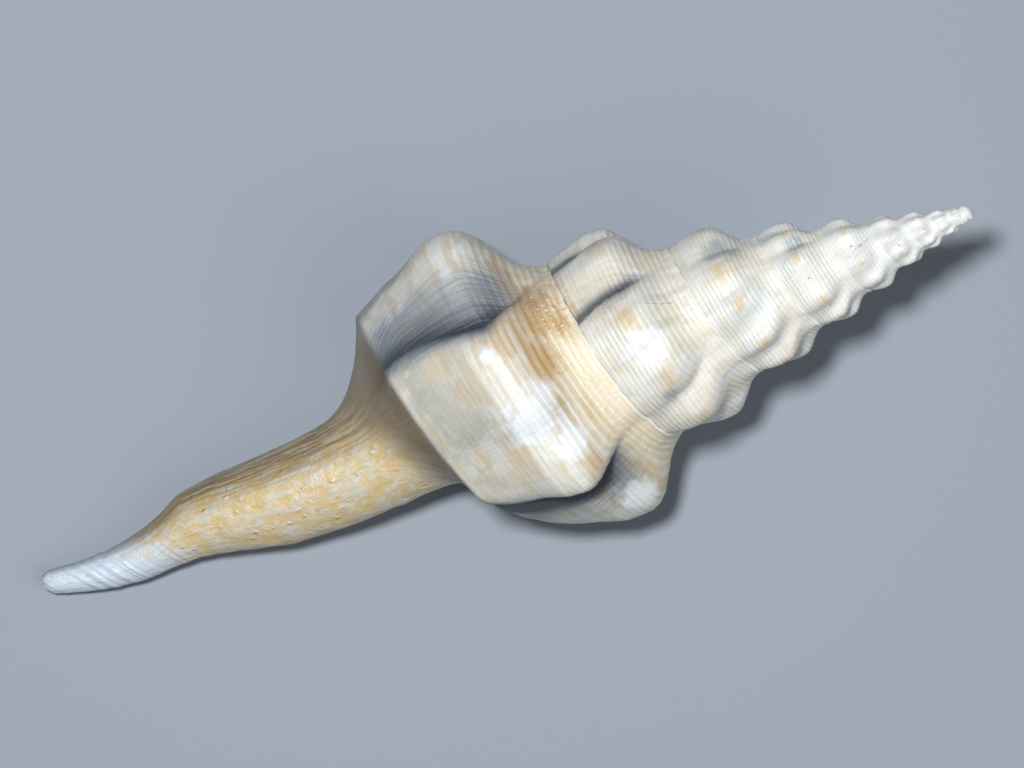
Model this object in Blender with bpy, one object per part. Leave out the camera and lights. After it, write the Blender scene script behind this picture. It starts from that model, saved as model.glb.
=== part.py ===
"""Knobbed spindle shell, one closed solid in its resting pose.

The shell is drawn around its own axis in drawing units (one unit is 0.18 mm). The
position along the axis is counted from the apex, a turn of the spiral is 360 degrees
of the winding angle, and angle 0 points to the back of the shell, the side that is
up when the shell lies on its knobs.
"""
import math

import bmesh
import bpy
import numpy as np
from mathutils import Matrix

# Size and pose
UNIT = 0.00018            # metres in one drawing unit
AXIS_LENGTH = 1018.0      # apex to the tip of the siphonal canal
PITCH_DEG = 12.7          # the apex is held up while knobs and canal tip touch the floor
ROLL_DEG = 0.0            # turn about the long axis

# Growth of the spiral, in turns counted back from the top of the last whorl
FIRST_TURN = -8.75        # where the apex begins, on the side away from the back
SUTURE_REACH = 498.4      # the suture runs along the axis as
SUTURE_GROWTH = 0.2843    # reach * exp(growth * turn + bend * turn * turn) - back
SUTURE_BEND = 0.0093
SUTURE_BACK = 86.9
SUTURE_CONE = 0.2633      # radius of the suture for each unit along the axis
APEX_BLUNT = 6.3          # rounds the first whorls
APEX_PLACE = -2.0         # the first turn is drawn in to this place on the axis
APEX_TURNS = 0.4          # and has its full size after this part of a turn
LIP_ANGLE = 105.0         # where the outer lip ends
CANAL_TWIST = 48.0        # how far the slit of the canal turns to the underside

# Whorl profile from suture (0) to next suture (1) and on to the base corner (1.18):
# radius of the valleys and what the ribs add, as shares of the whorl height
WHORL_S = (0.0, 0.10, 0.17, 0.22, 0.28, 0.34, 0.40, 0.46, 0.52, 0.64, 0.70, 0.82,
           0.95, 1.0, 1.09, 1.18)
SPIRE_BASE = (0.0, 0.020, 0.040, 0.060, 0.090, 0.125, 0.160, 0.190, 0.210, 0.240,
              0.250, 0.260, 0.250, 0.243, 0.165, 0.065)
SPIRE_RIB = (0.0, 0.006, 0.018, 0.035, 0.066, 0.098, 0.121, 0.132, 0.131, 0.112,
             0.098, 0.070, 0.046, 0.042, 0.035, 0.050)
BODY_BASE = (0.0, 0.016, 0.032, 0.047, 0.070, 0.100, 0.130, 0.155, 0.175, 0.200,
             0.205, 0.200, 0.175, 0.162, 0.128, 0.070)
BODY_RIB = (0.0, 0.020, 0.029, 0.062, 0.129, 0.195, 0.231, 0.242, 0.233, 0.193,
            0.158, 0.101, 0.076, 0.068, 0.056, 0.068)
BODY_FROM = -1.5          # turn where the profile begins to change to the body whorl's
BODY_FULL = -0.5
CORNER_DROP = 32.0        # units from the next suture line to the base corner
BULGES = (                # fuller and flatter places of the last whorls: angle, width,
    (100.0, 36.0, 0.5, 9.0, 0.020),     # middle and spread along the profile, share of
    (96.0, 18.0, 0.22, 0.09, 0.025),    # the whorl height
    (-49.0, 13.0, 1.25, 0.3, 0.040),
    (-86.0, 16.0, 1.3, 0.2, -0.045),
    (-84.0, 16.0, 0.65, 0.22, -0.030),
    (-52.0, 24.0, 0.5, 9.0, 0.016),
    (-101.0, 34.0, 0.5, 9.0, 0.100),
    (-98.0, 26.0, 0.5, 0.14, -0.037),
    (-151.0, 22.0, 0.5, 9.0, 0.0545),    # this knob and the next one touch the floor
    (-203.0, 24.0, 0.5, 9.0, 0.1117),
    (-252.0, 24.0, 0.5, 9.0, 0.042))

# Base between corner and neck
BASE_LENGTH = 52.0
BASE_FALL = 28.3
BASE_CURVE = 1.12

# Siphonal canal: place along the axis, outer radius, bend to the side and to the back
CANAL_T = (560.0, 640.0, 710.0, 763.0, 790.0, 816.0, 842.0, 855.0, 868.0, 880.0,
           900.0, 922.0, 948.0, 975.0, 1000.0, 1012.0, 1018.0)
CANAL_R = (51.0, 51.0, 50.0, 47.1, 43.6, 40.1, 35.6, 33.3, 30.3, 27.6,
           24.6, 22.5, 19.3, 16.4, 14.2, 12.2, 8.0)
CANAL_BEND = (0.0, -5.0, -5.5, -3.5, -0.4, 2.5, 4.5, 4.6, 2.2, -0.2,
              -3.7, -6.2, -5.7, -2.3, 2.9, 5.4, 6.5)
CANAL_LIFT = (0.0, 0.0, 0.0, 0.5, 1.0, 2.0, 3.0, 4.0, 5.0, 6.0,
              8.0, 10.0, 12.0, 13.5, 14.95, 15.9, 15.9)
# Columella, the pillar inside: place along the axis and radius
PILLAR_T = (200.0, 400.0, 520.0, 620.0, 716.0, 767.0, 818.0, 869.0, 920.0, 971.0,
            1018.0)
PILLAR_R = (11.0, 21.0, 29.0, 33.0, 30.0, 26.0, 20.0, 14.0, 9.5, 6.5, 2.6)

# Ribs of the last whorl, crest and valley by turns: winding angle, height, and the
# shape of the side towards the older neighbour, from steep (0.7) to hollow (2.5)
LAST_RIBS = ((148.0, 1.0, 2.0), (116.0, 0.3, 1.1), (83.0, 1.0, 1.05), (36.0, -0.12, 0.7),
             (15.0, 1.0, 1.2), (-14.0, 0.68, 1.2), (-41.0, 1.0, 0.8), (-54.0, -0.15, 2.3))
# Crests of the older ribs, the early ones are evenly spaced
KNOBS = (-98.0, -150.0, -203.0, -252.0, -291.0, -345.0, -381.0, -417.0, -461.0, -504.0,
         -546.0, -588.0, -632.0, -690.0, -719.0, -752.0, -783.0, -824.0, -863.0, -902.0,
         -941.0, -983.0, -1023.0, -1054.0, -1108.0, -1141.0, -1178.0, -1220.0, -1262.0,
         -1306.0, -1350.0, -1395.0, -1447.0, -1488.0)
EARLY_KNOB_STEP = 42.0
# Older valleys that aren't midway: crest before, angle, height, shape of both sides
VALLEYS = ((-291.0, -322.0, -0.1, 1.2, 0.8), (-345.0, -363.0, 0.55, 1.5, 1.5),
           (-381.0, -396.0, 0.0, 1.0, 1.5), (-632.0, -668.0, 0.0, 1.2, 0.9),
           (-690.0, -705.0, 0.5, 1.5, 1.5), (-1023.0, -1039.0, 0.0, 1.5, 1.2))

# Walls and hollow
LIP_WALL = 6.0            # thickness at the edge of the outer lip
BODY_WALL = 10.0          # thickness further in
HOLLOW_DEPTH = 250.0      # how far the hollow winds in behind the aperture
CANAL_DEPTH = 150.0       # the same inside the canal
VALLEY_SPREAD = 12.0      # degrees by which the hollow's wall widens the valleys

# Mesh density
TURN_STEPS = 48
HOLLOW_STEPS = 12
ROWS_WHORL = (0.0, 0.17, 0.30, 0.42, 0.54, 0.70, 0.86)
ROWS_BASE = (1.0, 1.5, 2.0, 2.08, 2.2, 2.36, 2.6, 3.0)
ROWS_CANAL = (3.12, 3.26, 3.40, 3.52, 3.63, 3.73, 3.82, 3.90, 3.96, 3.985, 4.0)
WELD_ROW = 1              # row of ROWS_BASE where the hollow starts below the suture


def smooth(x):
    """Return the smooth step of x between 0 and 1."""
    x = np.clip(x, 0.0, 1.0)
    return x * x * (3.0 - 2.0 * x)


def rib_line():
    """Return angle, height and shape of all crests and valleys, oldest first."""
    crests = list(KNOBS)
    while crests[-1] > FIRST_TURN * 360.0 - 400.0:
        crests.append(crests[-1] - EARLY_KNOB_STEP)
    special = {row[0]: row[1:] for row in VALLEYS}
    line = list(LAST_RIBS)
    for crest, older in zip(crests, crests[1:]):
        at, height, fall, rise = special.get(crest, ((crest + older) / 2.0, 0.0, 2.5, 2.5))
        line += [(crest, 1.0, fall), (at, height, rise)]
    return np.array(line[::-1])


def lean(angle, s):
    """Return how many degrees a rib has moved on at a share of the whorl."""
    turn = (angle - 90.0) / 360.0
    top = np.interp(angle, (-60.0, 0.0, 40.0), (16.0, 24.0, 40.0))
    skew = np.interp(turn, (-3.0, -1.4, -1.1, -0.5), (8.0, 18.0, 24.0, -6.0))
    return top * np.clip(1.0 - s / 0.5, 0.0, 1.0) ** 1.3 - skew * (s - 0.5)


def rib_height(angle, s):
    """Return about 1 on a rib and 0 in the valley beside it."""
    line = rib_line()
    angle = angle - lean(angle, s)
    after = np.clip(np.searchsorted(line[:, 0], angle), 1, len(line) - 1)
    near, far = line[after - 1], line[after]
    share = np.clip((angle - near[..., 0]) / (far[..., 0] - near[..., 0]), 0.0, 1.0)
    crest_first = (after - 1) % 2 == 1
    low = np.where(crest_first, far[..., 1], near[..., 1])
    high = np.where(crest_first, near[..., 1], far[..., 1])
    wave = np.abs(np.cos(math.pi * (after - 2.0 + share) / 2.0)) ** far[..., 2]
    return low + (high - low) * wave


def suture_place(turn):
    """Return the place of the suture along the axis."""
    growth = SUTURE_GROWTH * turn + SUTURE_BEND * turn * turn
    return SUTURE_REACH * np.exp(growth) - SUTURE_BACK


def suture_radius(turn):
    """Return the radius of the suture line."""
    return np.hypot(SUTURE_CONE * suture_place(turn) + 1.3, APEX_BLUNT)


def whorl_height(turn):
    """Return the distance to the next suture line."""
    return suture_place(turn + 1.0) - suture_place(turn)


def corner_place(turn):
    """Return the place of the base corner along the axis."""
    return suture_place(turn + 1.0) + CORNER_DROP * 1.1 ** turn


def profile(turn, s):
    """Return the valley radius and the rib height as shares of the whorl height."""
    body = smooth((turn - BODY_FROM) / (BODY_FULL - BODY_FROM))
    base = np.interp(s, WHORL_S, SPIRE_BASE)
    base = base + (np.interp(s, WHORL_S, BODY_BASE) - base) * body
    rib = np.interp(s, WHORL_S, SPIRE_RIB)
    rib = rib + (np.interp(s, WHORL_S, BODY_RIB) - rib) * body
    return base, rib * smooth((turn - FIRST_TURN - 0.3) / 1.0)


def older_edge(angle):
    """Return how far the whorl before stands above the nominal suture radius."""
    turn = (angle - 90.0) / 360.0 - 1.0
    base, rib = profile(turn, 1.0)
    edge = suture_radius(turn) + whorl_height(turn) * (
        base + rib * rib_height(angle - 360.0, 1.0))
    return edge - suture_radius(turn + 1.0)


def whorl_point(angle, row, spread=0.0):
    """Return place and radius between the suture and the base corner.

    The lowest rib height within the spread to both sides counts.
    """
    turn = (angle - 90.0) / 360.0
    height = whorl_height(turn)
    nxt = suture_place(turn + 1.0)
    past = np.clip(row - 1.0, 0.0, 1.0)
    s = np.clip(row, 0.0, 1.0) + 0.18 * past
    base, rib = profile(turn, s)
    wave = rib_height(angle, s)
    for step in (-1.0, -0.5, 0.5, 1.0) if np.any(spread) else ():
        wave = np.minimum(wave, rib_height(angle + step * spread, s))
    rib = rib * wave
    bulge = smooth(s / 0.3) * sum(
        share * np.exp(-((angle - middle) / width) ** 2 - ((s - at) / spread) ** 2)
        for middle, width, at, spread, share in BULGES)
    join = np.clip(1.0 - s / 0.3, 0.0, 1.0) ** 2 * older_edge(angle)
    radius = suture_radius(turn) + height * (base + rib + bulge) + join
    place = suture_place(turn) + np.clip(row, 0.0, 1.0) * height
    return place + past * (corner_place(turn) - nxt), radius


def pipe_radius(angle, place):
    """Return the radius of the neck and canal, tucked in beside the slit."""
    outer = np.interp(place, CANAL_T, CANAL_R)
    pillar = np.interp(place, PILLAR_T, PILLAR_R)
    open_at = LIP_ANGLE - 360.0
    return pillar + (outer - pillar) * smooth((angle - open_at) / 58.0)


def shell_point(angle, row, spread=0.0):
    """Return the point of the outer surface for a winding angle and a row.

    Rows 0 to 1 lie between two sutures, 1 to 2 run on to the base corner, 2 to 3
    cross the base to the neck and 3 to 4 follow the canal to its tip. A spread in
    degrees widens the valleys between the ribs.
    """
    angle, row = np.broadcast_arrays(np.asarray(angle, float), np.asarray(row, float))
    around = angle + CANAL_TWIST * smooth((row - 2.0) / 1.4)
    turn = (around - 90.0) / 360.0
    upper, upper_r = whorl_point(angle, np.minimum(row, 2.0), spread)
    _, corner_r = whorl_point(around, np.full_like(row, 2.0), spread)
    corner = corner_place(turn)
    scale = 1.3 ** turn
    neck = corner + 1.8 * BASE_LENGTH * scale
    lower = np.where(row <= 3.0, corner + (row - 2.0) * (neck - corner),
                     neck + (row - 3.0) * (AXIS_LENGTH - neck))
    drawn = np.clip((lower - corner) / scale, 0.0, None)
    pipe = pipe_radius(angle, lower)
    fall = np.exp(-(drawn / BASE_FALL) ** BASE_CURVE)
    lower_r = pipe + (corner_r - pipe) * fall
    below = row > 2.0
    place = np.where(below, lower, upper)
    radius = np.where(below, lower_r, upper_r)
    freed = smooth(drawn / 75.0) * below
    bend = np.interp(place, CANAL_T, CANAL_BEND) * freed
    lift = np.interp(place, CANAL_T, CANAL_LIFT) * freed
    return to_axis_space(place, radius, around, bend, lift)


def to_axis_space(place, radius, around, bend, lift):
    """Return points with the apex towards +X and the back of the shell towards +Z."""
    turn = np.radians(around)
    side = radius * np.sin(turn) + bend
    return np.stack([-place, side, radius * np.cos(turn) + lift], -1)


def start_fade(points, angle):
    """Draw the first turn in to a single point at the apex."""
    grow = smooth((angle / 360.0 - 0.25 - FIRST_TURN) / APEX_TURNS + 0.02)[..., None]
    target = np.array([-APEX_PLACE, 0.0, 0.0])
    return target + (points - target) * np.sqrt(grow)


def wall_depth(angle, row, thickness, spread):
    """Return points under the outer surface by the thickness, with widened valleys."""
    here = shell_point(angle, row, spread)
    da = shell_point(angle + 1.0, row, spread) - shell_point(angle - 1.0, row, spread)
    dr = shell_point(angle, row + 0.01, spread) - shell_point(angle, row - 0.01, spread)
    normal = np.cross(da, dr)
    normal /= np.linalg.norm(normal, axis=-1, keepdims=True) + 1e-12
    return here - normal * thickness[..., None]


class Builder:
    """Collects vertices and faces of the closed shell."""

    def __init__(self):
        self.points = []
        self.faces = []

    def add(self, points):
        """Add points in order and return their indices in the same shape."""
        points = np.asarray(points)
        flat = points.reshape(-1, 3)
        first = len(self.points)
        self.points.extend(map(tuple, flat))
        return np.arange(first, first + len(flat)).reshape(points.shape[:-1])

    def face(self, corners):
        """Add a face and leave out corners that fall together."""
        kept = []
        for corner in corners:
            if corner not in kept:
                kept.append(int(corner))
        if len(kept) > 2:
            self.faces.append(kept)

    def grid(self, table, same_split=False):
        """Add triangles between neighbouring rows and columns of an index table."""
        for i in range(table.shape[0] - 1):
            for j in range(table.shape[1] - 1):
                a, b = table[i, j], table[i, j + 1]
                c, d = table[i + 1, j + 1], table[i + 1, j]
                if same_split or self.span(b, d) <= self.span(a, c):
                    self.face([a, b, d])
                    self.face([b, c, d])
                else:
                    self.face([a, b, c])
                    self.face([a, c, d])

    def span(self, first, second):
        """Return the squared distance of two vertices."""
        step = np.array(self.points[first]) - np.array(self.points[second])
        return float(step.dot(step))

    def zip_lines(self, first, second):
        """Add triangles between two lines of vertices with different counts."""
        i = j = 0
        while i < len(first) - 1 or j < len(second) - 1:
            if j == len(second) - 1 or (
                    i < len(first) - 1 and self.ahead(first, second, i, j)):
                self.face([first[i], first[i + 1], second[j]])
                i += 1
            else:
                self.face([first[i], second[j + 1], second[j]])
                j += 1

    def ahead(self, first, second, i, j):
        """Tell whether stepping on the first line gives the shorter new edge."""
        return self.span(first[i + 1], second[j]) <= self.span(first[i], second[j + 1])


def outer_tables(builder):
    """Add the outer surface; return index tables of the spire and of the last turn."""
    rows = np.array(ROWS_WHORL)
    last = int(round((LIP_ANGLE / 360.0 - 0.25 - FIRST_TURN) * TURN_STEPS))
    angles = LIP_ANGLE + (np.arange(last + 1) - last) * 360.0 / TURN_STEPS
    spire = start_fade(shell_point(angles[:, None], rows[None, :]), angles[:, None])
    spire[0, :] = spire[0, 0]
    table = builder.add(spire)
    table[0, :] = table[0, 0]
    below = np.array(ROWS_BASE + ROWS_CANAL)
    turn = angles[last - TURN_STEPS:]
    lower = builder.add(shell_point(turn[:, None], below[None, :]))
    lower[0, 0] = table[last, 0]
    return table, lower


def add_outside(builder, table, lower):
    """Add the faces of the spire, of the last turn and of the apex."""
    last = table.shape[0] - 1
    for i in range(last - TURN_STEPS):
        strip = np.column_stack([table[i:i + 2], table[i + TURN_STEPS:i + TURN_STEPS + 2, :1]])
        builder.grid(strip)
    body = np.column_stack([table[last - TURN_STEPS:], lower])
    builder.grid(body)
    add_roof(builder, table[0, 0], table[1:TURN_STEPS + 1, 0])


def add_roof(builder, top, rim):
    """Close the first turn with a round dome between its suture and the apex."""
    start = np.array(builder.points[top])
    edge = np.array([builder.points[k] for k in rim[1:-1]])
    outer = list(rim)
    for share in (0.9, 0.55):
        fall = 1.0 - math.sqrt(1.0 - share ** 2)
        dome = builder.add(start + (edge - start) * np.array([fall, share, share]))
        inner = [rim[0], *dome, rim[-1]]
        for i in range(len(inner) - 1):
            builder.face([inner[i], outer[i], outer[i + 1]])
            builder.face([inner[i], outer[i + 1], inner[i + 1]])
        outer = inner
    for i in range(len(outer) - 1):
        builder.face([top, outer[i], outer[i + 1]])


def hollow_rows():
    """Return the rows below the weld line and the matching rows of the outer wall."""
    inner = np.array((ROWS_BASE + ROWS_CANAL)[WELD_ROW:])
    outer = np.interp(inner, (ROWS_BASE[WELD_ROW], 2.0, 2.6, 3.0, 3.3, 4.0),
                      (0.10, 0.78, 1.75, 2.35, 3.3, 4.0))
    return inner, outer


def add_hollow(builder, lower):
    """Add both walls of the hollow; return the front line of the outer wall."""
    inner, outer = hollow_rows()
    share = np.linspace(0.0, 1.0, HOLLOW_STEPS + 1) ** 0.9
    share = share[:, None]
    canal = smooth((inner - 2.4) / 0.9)[None, :]
    depth = HOLLOW_DEPTH + (CANAL_DEPTH - HOLLOW_DEPTH) * canal
    angle = LIP_ANGLE - share * depth
    wall_in = shell_point(angle - 360.0, inner[None, :])
    taper = np.interp(outer, (0.0, 3.0, 3.5, 3.8, 4.0), (1.0, 1.0, 0.75, 0.5, 0.34))
    thick = (LIP_WALL + (BODY_WALL - LIP_WALL) * smooth(share * depth / 25.0)) * taper
    spread = VALLEY_SPREAD * smooth(share * depth / 24.0)
    wall_out = wall_depth(angle, np.broadcast_to(outer[None, :], angle.shape), thick, spread)
    power = 7.0 - 4.0 * canal
    gap = np.sqrt(np.clip(1.0 - share ** power, 0.0, 1.0))
    wall_out = wall_in + (wall_out - wall_in) * gap[..., None]
    near = builder.add(wall_in[1:])
    near = np.vstack([lower[:1, WELD_ROW:], near])
    far = builder.add(wall_out)
    far[-1] = near[-1]
    far[:, 0] = near[:, 0]
    builder.grid(near, same_split=True)
    builder.grid(far, same_split=True)
    return near, far


def add_edges(builder, table, lower, near, far):
    """Close the lip from suture to canal and the cut end of the canal."""
    outside = np.concatenate([table[-1], lower[-1]])
    inside = np.concatenate([lower[0, :WELD_ROW], far[0]])
    builder.zip_lines(outside, inside)
    ring = list(lower[::-1, -1]) + list(near[1:, -1]) + list(far[-2::-1, -1])
    builder.faces.append([int(i) for i in ring])


def rest_matrix():
    """Return the turn that lays the shell on its knobs and canal tip."""
    pitch = Matrix.Rotation(math.radians(-PITCH_DEG), 4, "Y")
    roll = Matrix.Rotation(math.radians(ROLL_DEG), 4, "X")
    return pitch @ roll @ Matrix.Scale(UNIT, 4)


def clear_scene():
    """Remove every object of the start scene."""
    for item in list(bpy.data.objects):
        bpy.data.objects.remove(item, do_unlink=True)


def make_material():
    """Return the cream shell material."""
    material = bpy.data.materials.new("shell_cream")
    material.use_nodes = True
    shader = material.node_tree.nodes["Principled BSDF"]
    shader.inputs["Base Color"].default_value = (0.76, 0.68, 0.55, 1.0)
    shader.inputs["Roughness"].default_value = 0.45
    return material


def settle(mesh):
    """Move the mesh so that the middle of its underside box face is the origin."""
    points = np.array([vertex.co for vertex in mesh.vertices])
    low, high = points.min(axis=0), points.max(axis=0)
    middle = (low + high) / 2.0
    mesh.transform(Matrix.Translation((-middle[0], -middle[1], -low[2])))


def build_mesh():
    """Return the closed mesh of the shell in metres."""
    builder = Builder()
    table, lower = outer_tables(builder)
    add_outside(builder, table, lower)
    near, far = add_hollow(builder, lower)
    add_edges(builder, table, lower, near, far)
    mesh = bpy.data.meshes.new("shell")
    mesh.from_pydata(builder.points, [], builder.faces)
    work = bmesh.new()
    work.from_mesh(mesh)
    loose = [vertex for vertex in work.verts if not vertex.link_faces]
    bmesh.ops.delete(work, geom=loose, context="VERTS")
    bmesh.ops.triangulate(work, faces=work.faces[:])
    bmesh.ops.recalc_face_normals(work, faces=work.faces[:])
    if work.calc_volume(signed=True) < 0.0:
        bmesh.ops.reverse_faces(work, faces=work.faces[:])
    work.to_mesh(mesh)
    work.free()
    mesh.transform(rest_matrix())
    settle(mesh)
    return mesh


def main():
    """Build the shell as the only object of the scene."""
    clear_scene()
    mesh = build_mesh()
    shell = bpy.data.objects.new("shell", mesh)
    shell.data.materials.append(make_material())
    bpy.context.scene.collection.objects.link(shell)


main()
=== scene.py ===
"""Looks of a knobbed spindle shell that lies on its knobs.

The shell grew around its own axis. Lengths of the growth law are drawing units, places
along the axis are counted from the apex, and a turn of the spiral is 360 degrees of the
winding angle. Angle 0 points to the back of the shell, the side that is up.
"""
import logging
import math
from dataclasses import asdict, dataclass
from enum import Enum
from functools import reduce
from typing import Iterable, Sequence, Union

import bpy
import numpy as np
from bpy.types import ID, Material, Mesh, Node, NodeSocket, NodeTree, Object
from mathutils import Matrix, Vector


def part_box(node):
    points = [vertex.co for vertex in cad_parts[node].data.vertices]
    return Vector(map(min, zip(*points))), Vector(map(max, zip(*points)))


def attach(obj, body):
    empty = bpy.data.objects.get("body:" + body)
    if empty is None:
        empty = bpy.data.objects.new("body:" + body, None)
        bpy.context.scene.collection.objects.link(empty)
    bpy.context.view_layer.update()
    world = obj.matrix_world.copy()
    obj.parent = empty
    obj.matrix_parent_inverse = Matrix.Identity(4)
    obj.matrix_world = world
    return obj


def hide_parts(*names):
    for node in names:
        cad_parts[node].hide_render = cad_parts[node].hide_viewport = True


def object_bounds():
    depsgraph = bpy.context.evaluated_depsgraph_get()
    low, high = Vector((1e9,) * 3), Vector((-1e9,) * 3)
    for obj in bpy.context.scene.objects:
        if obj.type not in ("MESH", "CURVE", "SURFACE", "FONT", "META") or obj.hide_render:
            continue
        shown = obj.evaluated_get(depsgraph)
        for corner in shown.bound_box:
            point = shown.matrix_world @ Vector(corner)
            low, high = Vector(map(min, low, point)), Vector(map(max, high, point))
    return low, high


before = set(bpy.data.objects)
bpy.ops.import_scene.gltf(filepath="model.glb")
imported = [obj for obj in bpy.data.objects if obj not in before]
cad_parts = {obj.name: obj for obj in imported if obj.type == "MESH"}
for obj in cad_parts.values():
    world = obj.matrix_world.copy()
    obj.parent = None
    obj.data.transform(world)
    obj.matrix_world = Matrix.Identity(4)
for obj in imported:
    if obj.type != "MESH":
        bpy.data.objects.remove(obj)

CAD_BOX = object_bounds()
FULL_TURN = 2.0 * math.pi
DEGREE = math.pi / 180.0
SUTURE_START = 90.0       # winding angle at which turn 0 begins
BELL_FALL = 0.3679        # what is left of a bell at its half width
CAVITY_ROUNDS = 60        # how far the neighbourhood of a hollow reaches
BOX_STEP = 7.5            # degrees between the points that find the shell's box
LOG = logging.getLogger("shell")
Number = Union[float, np.ndarray]
Numbers = Sequence[float]
Patches = dict[str, Sequence[Numbers]]


class Part(Enum):
    """Names of the shell's surfaces, used for its material slots."""

    OUTSIDE = "shell_outside"
    INSIDE = "shell_inside"


def put(name: str, data: ID) -> Object:
    """Return a new object of the scene.

    Args:
        name: name of the object.
        data: its mesh, lamp or camera data.

    Returns:
        The object, linked to the scene.
    """
    piece = bpy.data.objects.new(name, data)
    bpy.context.scene.collection.objects.link(piece)
    return piece


def smooth(x: Number) -> Number:
    """Return the smooth step of x between 0 and 1."""
    x = np.clip(x, 0.0, 1.0)
    return x * x * (3.0 - 2.0 * x)


def turn_of(angle: Number) -> Number:
    """Return the turn at a winding angle; turns before the last one are negative."""
    return (angle - SUTURE_START) / 360.0


def wound(numbers: dict[str, np.ndarray], wave: np.ndarray) -> np.ndarray:
    """Return the axis space points of growth numbers and the height of their ribs.

    Args:
        numbers: growth numbers by name, see Growth.nominal.
        wave: height of the ribs, 1 on a full crest.

    Returns:
        The points, in drawing units.
    """
    radius = numbers["valley"] + numbers["rib"] * wave
    turn = np.radians(numbers["around"])
    return np.stack([-numbers["place"], radius * np.sin(turn) + numbers["bend"],
                     radius * np.cos(turn) + numbers["lift"]], -1)


@dataclass(frozen=True)
class Growth:
    """The law by which the shell grew, in drawing units and degrees of winding."""

    unit: float = 0.00018
    axis_length: float = 1018.0
    pitch_deg: float = 12.7
    first_turn: float = -8.75
    suture_reach: float = 498.4
    suture_growth: float = 0.2843
    suture_bend: float = 0.0093
    suture_back: float = 86.9
    suture_cone: float = 0.2633
    apex_blunt: float = 6.3
    apex_place: float = -2.0
    apex_turns: float = 0.4
    lip_angle: float = 105.0
    canal_twist: float = 48.0
    body_from: float = -1.5
    body_full: float = -0.5
    corner_drop: float = 32.0
    corner_share: float = 0.18
    base_length: float = 52.0
    base_fall: float = 28.3
    base_curve: float = 1.12
    whorl_s: Numbers = (0.0, 0.10, 0.17, 0.22, 0.28, 0.34, 0.40, 0.46, 0.52, 0.64, 0.70, 0.82,
        0.95, 1.0, 1.09, 1.18)
    spire_base: Numbers = (0.0, 0.020, 0.040, 0.060, 0.090, 0.125, 0.160, 0.190, 0.210, 0.240,
        0.250, 0.260, 0.250, 0.243, 0.165, 0.065)
    spire_rib: Numbers = (0.0, 0.006, 0.018, 0.035, 0.066, 0.098, 0.121, 0.132, 0.131, 0.112,
        0.098, 0.070, 0.046, 0.042, 0.035, 0.050)
    body_base: Numbers = (0.0, 0.016, 0.032, 0.047, 0.070, 0.100, 0.130, 0.155, 0.175, 0.200,
        0.205, 0.200, 0.175, 0.162, 0.128, 0.070)
    body_rib: Numbers = (0.0, 0.020, 0.029, 0.062, 0.129, 0.195, 0.231, 0.242, 0.233, 0.193,
        0.158, 0.101, 0.076, 0.068, 0.056, 0.068)
    bulges: Sequence[Numbers] = (
        (100.0, 36.0, 0.5, 9.0, 0.020), (96.0, 18.0, 0.22, 0.09, 0.025),
        (-49.0, 13.0, 1.25, 0.3, 0.040), (-86.0, 16.0, 1.3, 0.2, -0.045),
        (-84.0, 16.0, 0.65, 0.22, -0.030), (-52.0, 24.0, 0.5, 9.0, 0.016),
        (-101.0, 34.0, 0.5, 9.0, 0.100), (-98.0, 26.0, 0.5, 0.14, -0.037),
        (-151.0, 22.0, 0.5, 9.0, 0.0545), (-203.0, 24.0, 0.5, 9.0, 0.1117),
        (-252.0, 24.0, 0.5, 9.0, 0.042))
    canal_t: Numbers = (560.0, 640.0, 710.0, 763.0, 790.0, 816.0, 842.0, 855.0, 868.0, 880.0,
        900.0, 922.0, 948.0, 975.0, 1000.0, 1012.0, 1018.0)
    canal_r: Numbers = (51.0, 51.0, 50.0, 47.1, 43.6, 40.1, 35.6, 33.3, 30.3, 27.6, 24.6, 22.5,
        19.3, 16.4, 14.2, 12.2, 8.0)
    canal_bend: Numbers = (0.0, -5.0, -5.5, -3.5, -0.4, 2.5, 4.5, 4.6, 2.2, -0.2, -3.7, -6.2,
        -5.7, -2.3, 2.9, 5.4, 6.5)
    canal_lift: Numbers = (0.0, 0.0, 0.0, 0.5, 1.0, 2.0, 3.0, 4.0, 5.0, 6.0, 8.0, 10.0, 12.0,
        13.5, 14.95, 15.9, 15.9)
    pillar_t: Numbers = (200.0, 400.0, 520.0, 620.0, 716.0, 767.0, 818.0, 869.0, 920.0, 971.0,
        1018.0)
    pillar_r: Numbers = (11.0, 21.0, 29.0, 33.0, 30.0, 26.0, 20.0, 14.0, 9.5, 6.5, 2.6)
    last_ribs: Sequence[Numbers] = (      # crest and valley by turns: angle,
        (148.0, 1.0, 2.0), (116.0, 0.3, 1.1),     # height, shape of the older side
        (83.0, 1.0, 1.05), (36.0, -0.12, 0.7),
        (15.0, 1.0, 1.2), (-14.0, 0.68, 1.2),
        (-41.0, 1.0, 0.8), (-54.0, -0.15, 2.3))
    knobs: Numbers = (-98.0, -150.0, -203.0, -252.0, -291.0, -345.0, -381.0, -417.0, -461.0,
        -504.0, -546.0, -588.0, -632.0, -690.0, -719.0, -752.0, -783.0, -824.0, -863.0, -902.0,
        -941.0, -983.0, -1023.0, -1054.0, -1108.0, -1141.0, -1178.0, -1220.0, -1262.0, -1306.0,
        -1350.0, -1395.0, -1447.0, -1488.0)
    valleys: Sequence[Numbers] = (        # older valleys out of the middle
        (-291.0, -322.0, -0.1, 1.2, 0.8), (-345.0, -363.0, 0.55, 1.5, 1.5),
        (-381.0, -396.0, 0.0, 1.0, 1.5), (-632.0, -668.0, 0.0, 1.2, 0.9),
        (-690.0, -705.0, 0.5, 1.5, 1.5), (-1023.0, -1039.0, 0.0, 1.5, 1.2))
    early_knob_step: float = 42.0

    def suture_place(self, turn: Number) -> Number:
        """Return the place of the suture along the axis."""
        law = self.suture_growth * turn + self.suture_bend * turn * turn
        return self.suture_reach * np.exp(law) - self.suture_back

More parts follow.
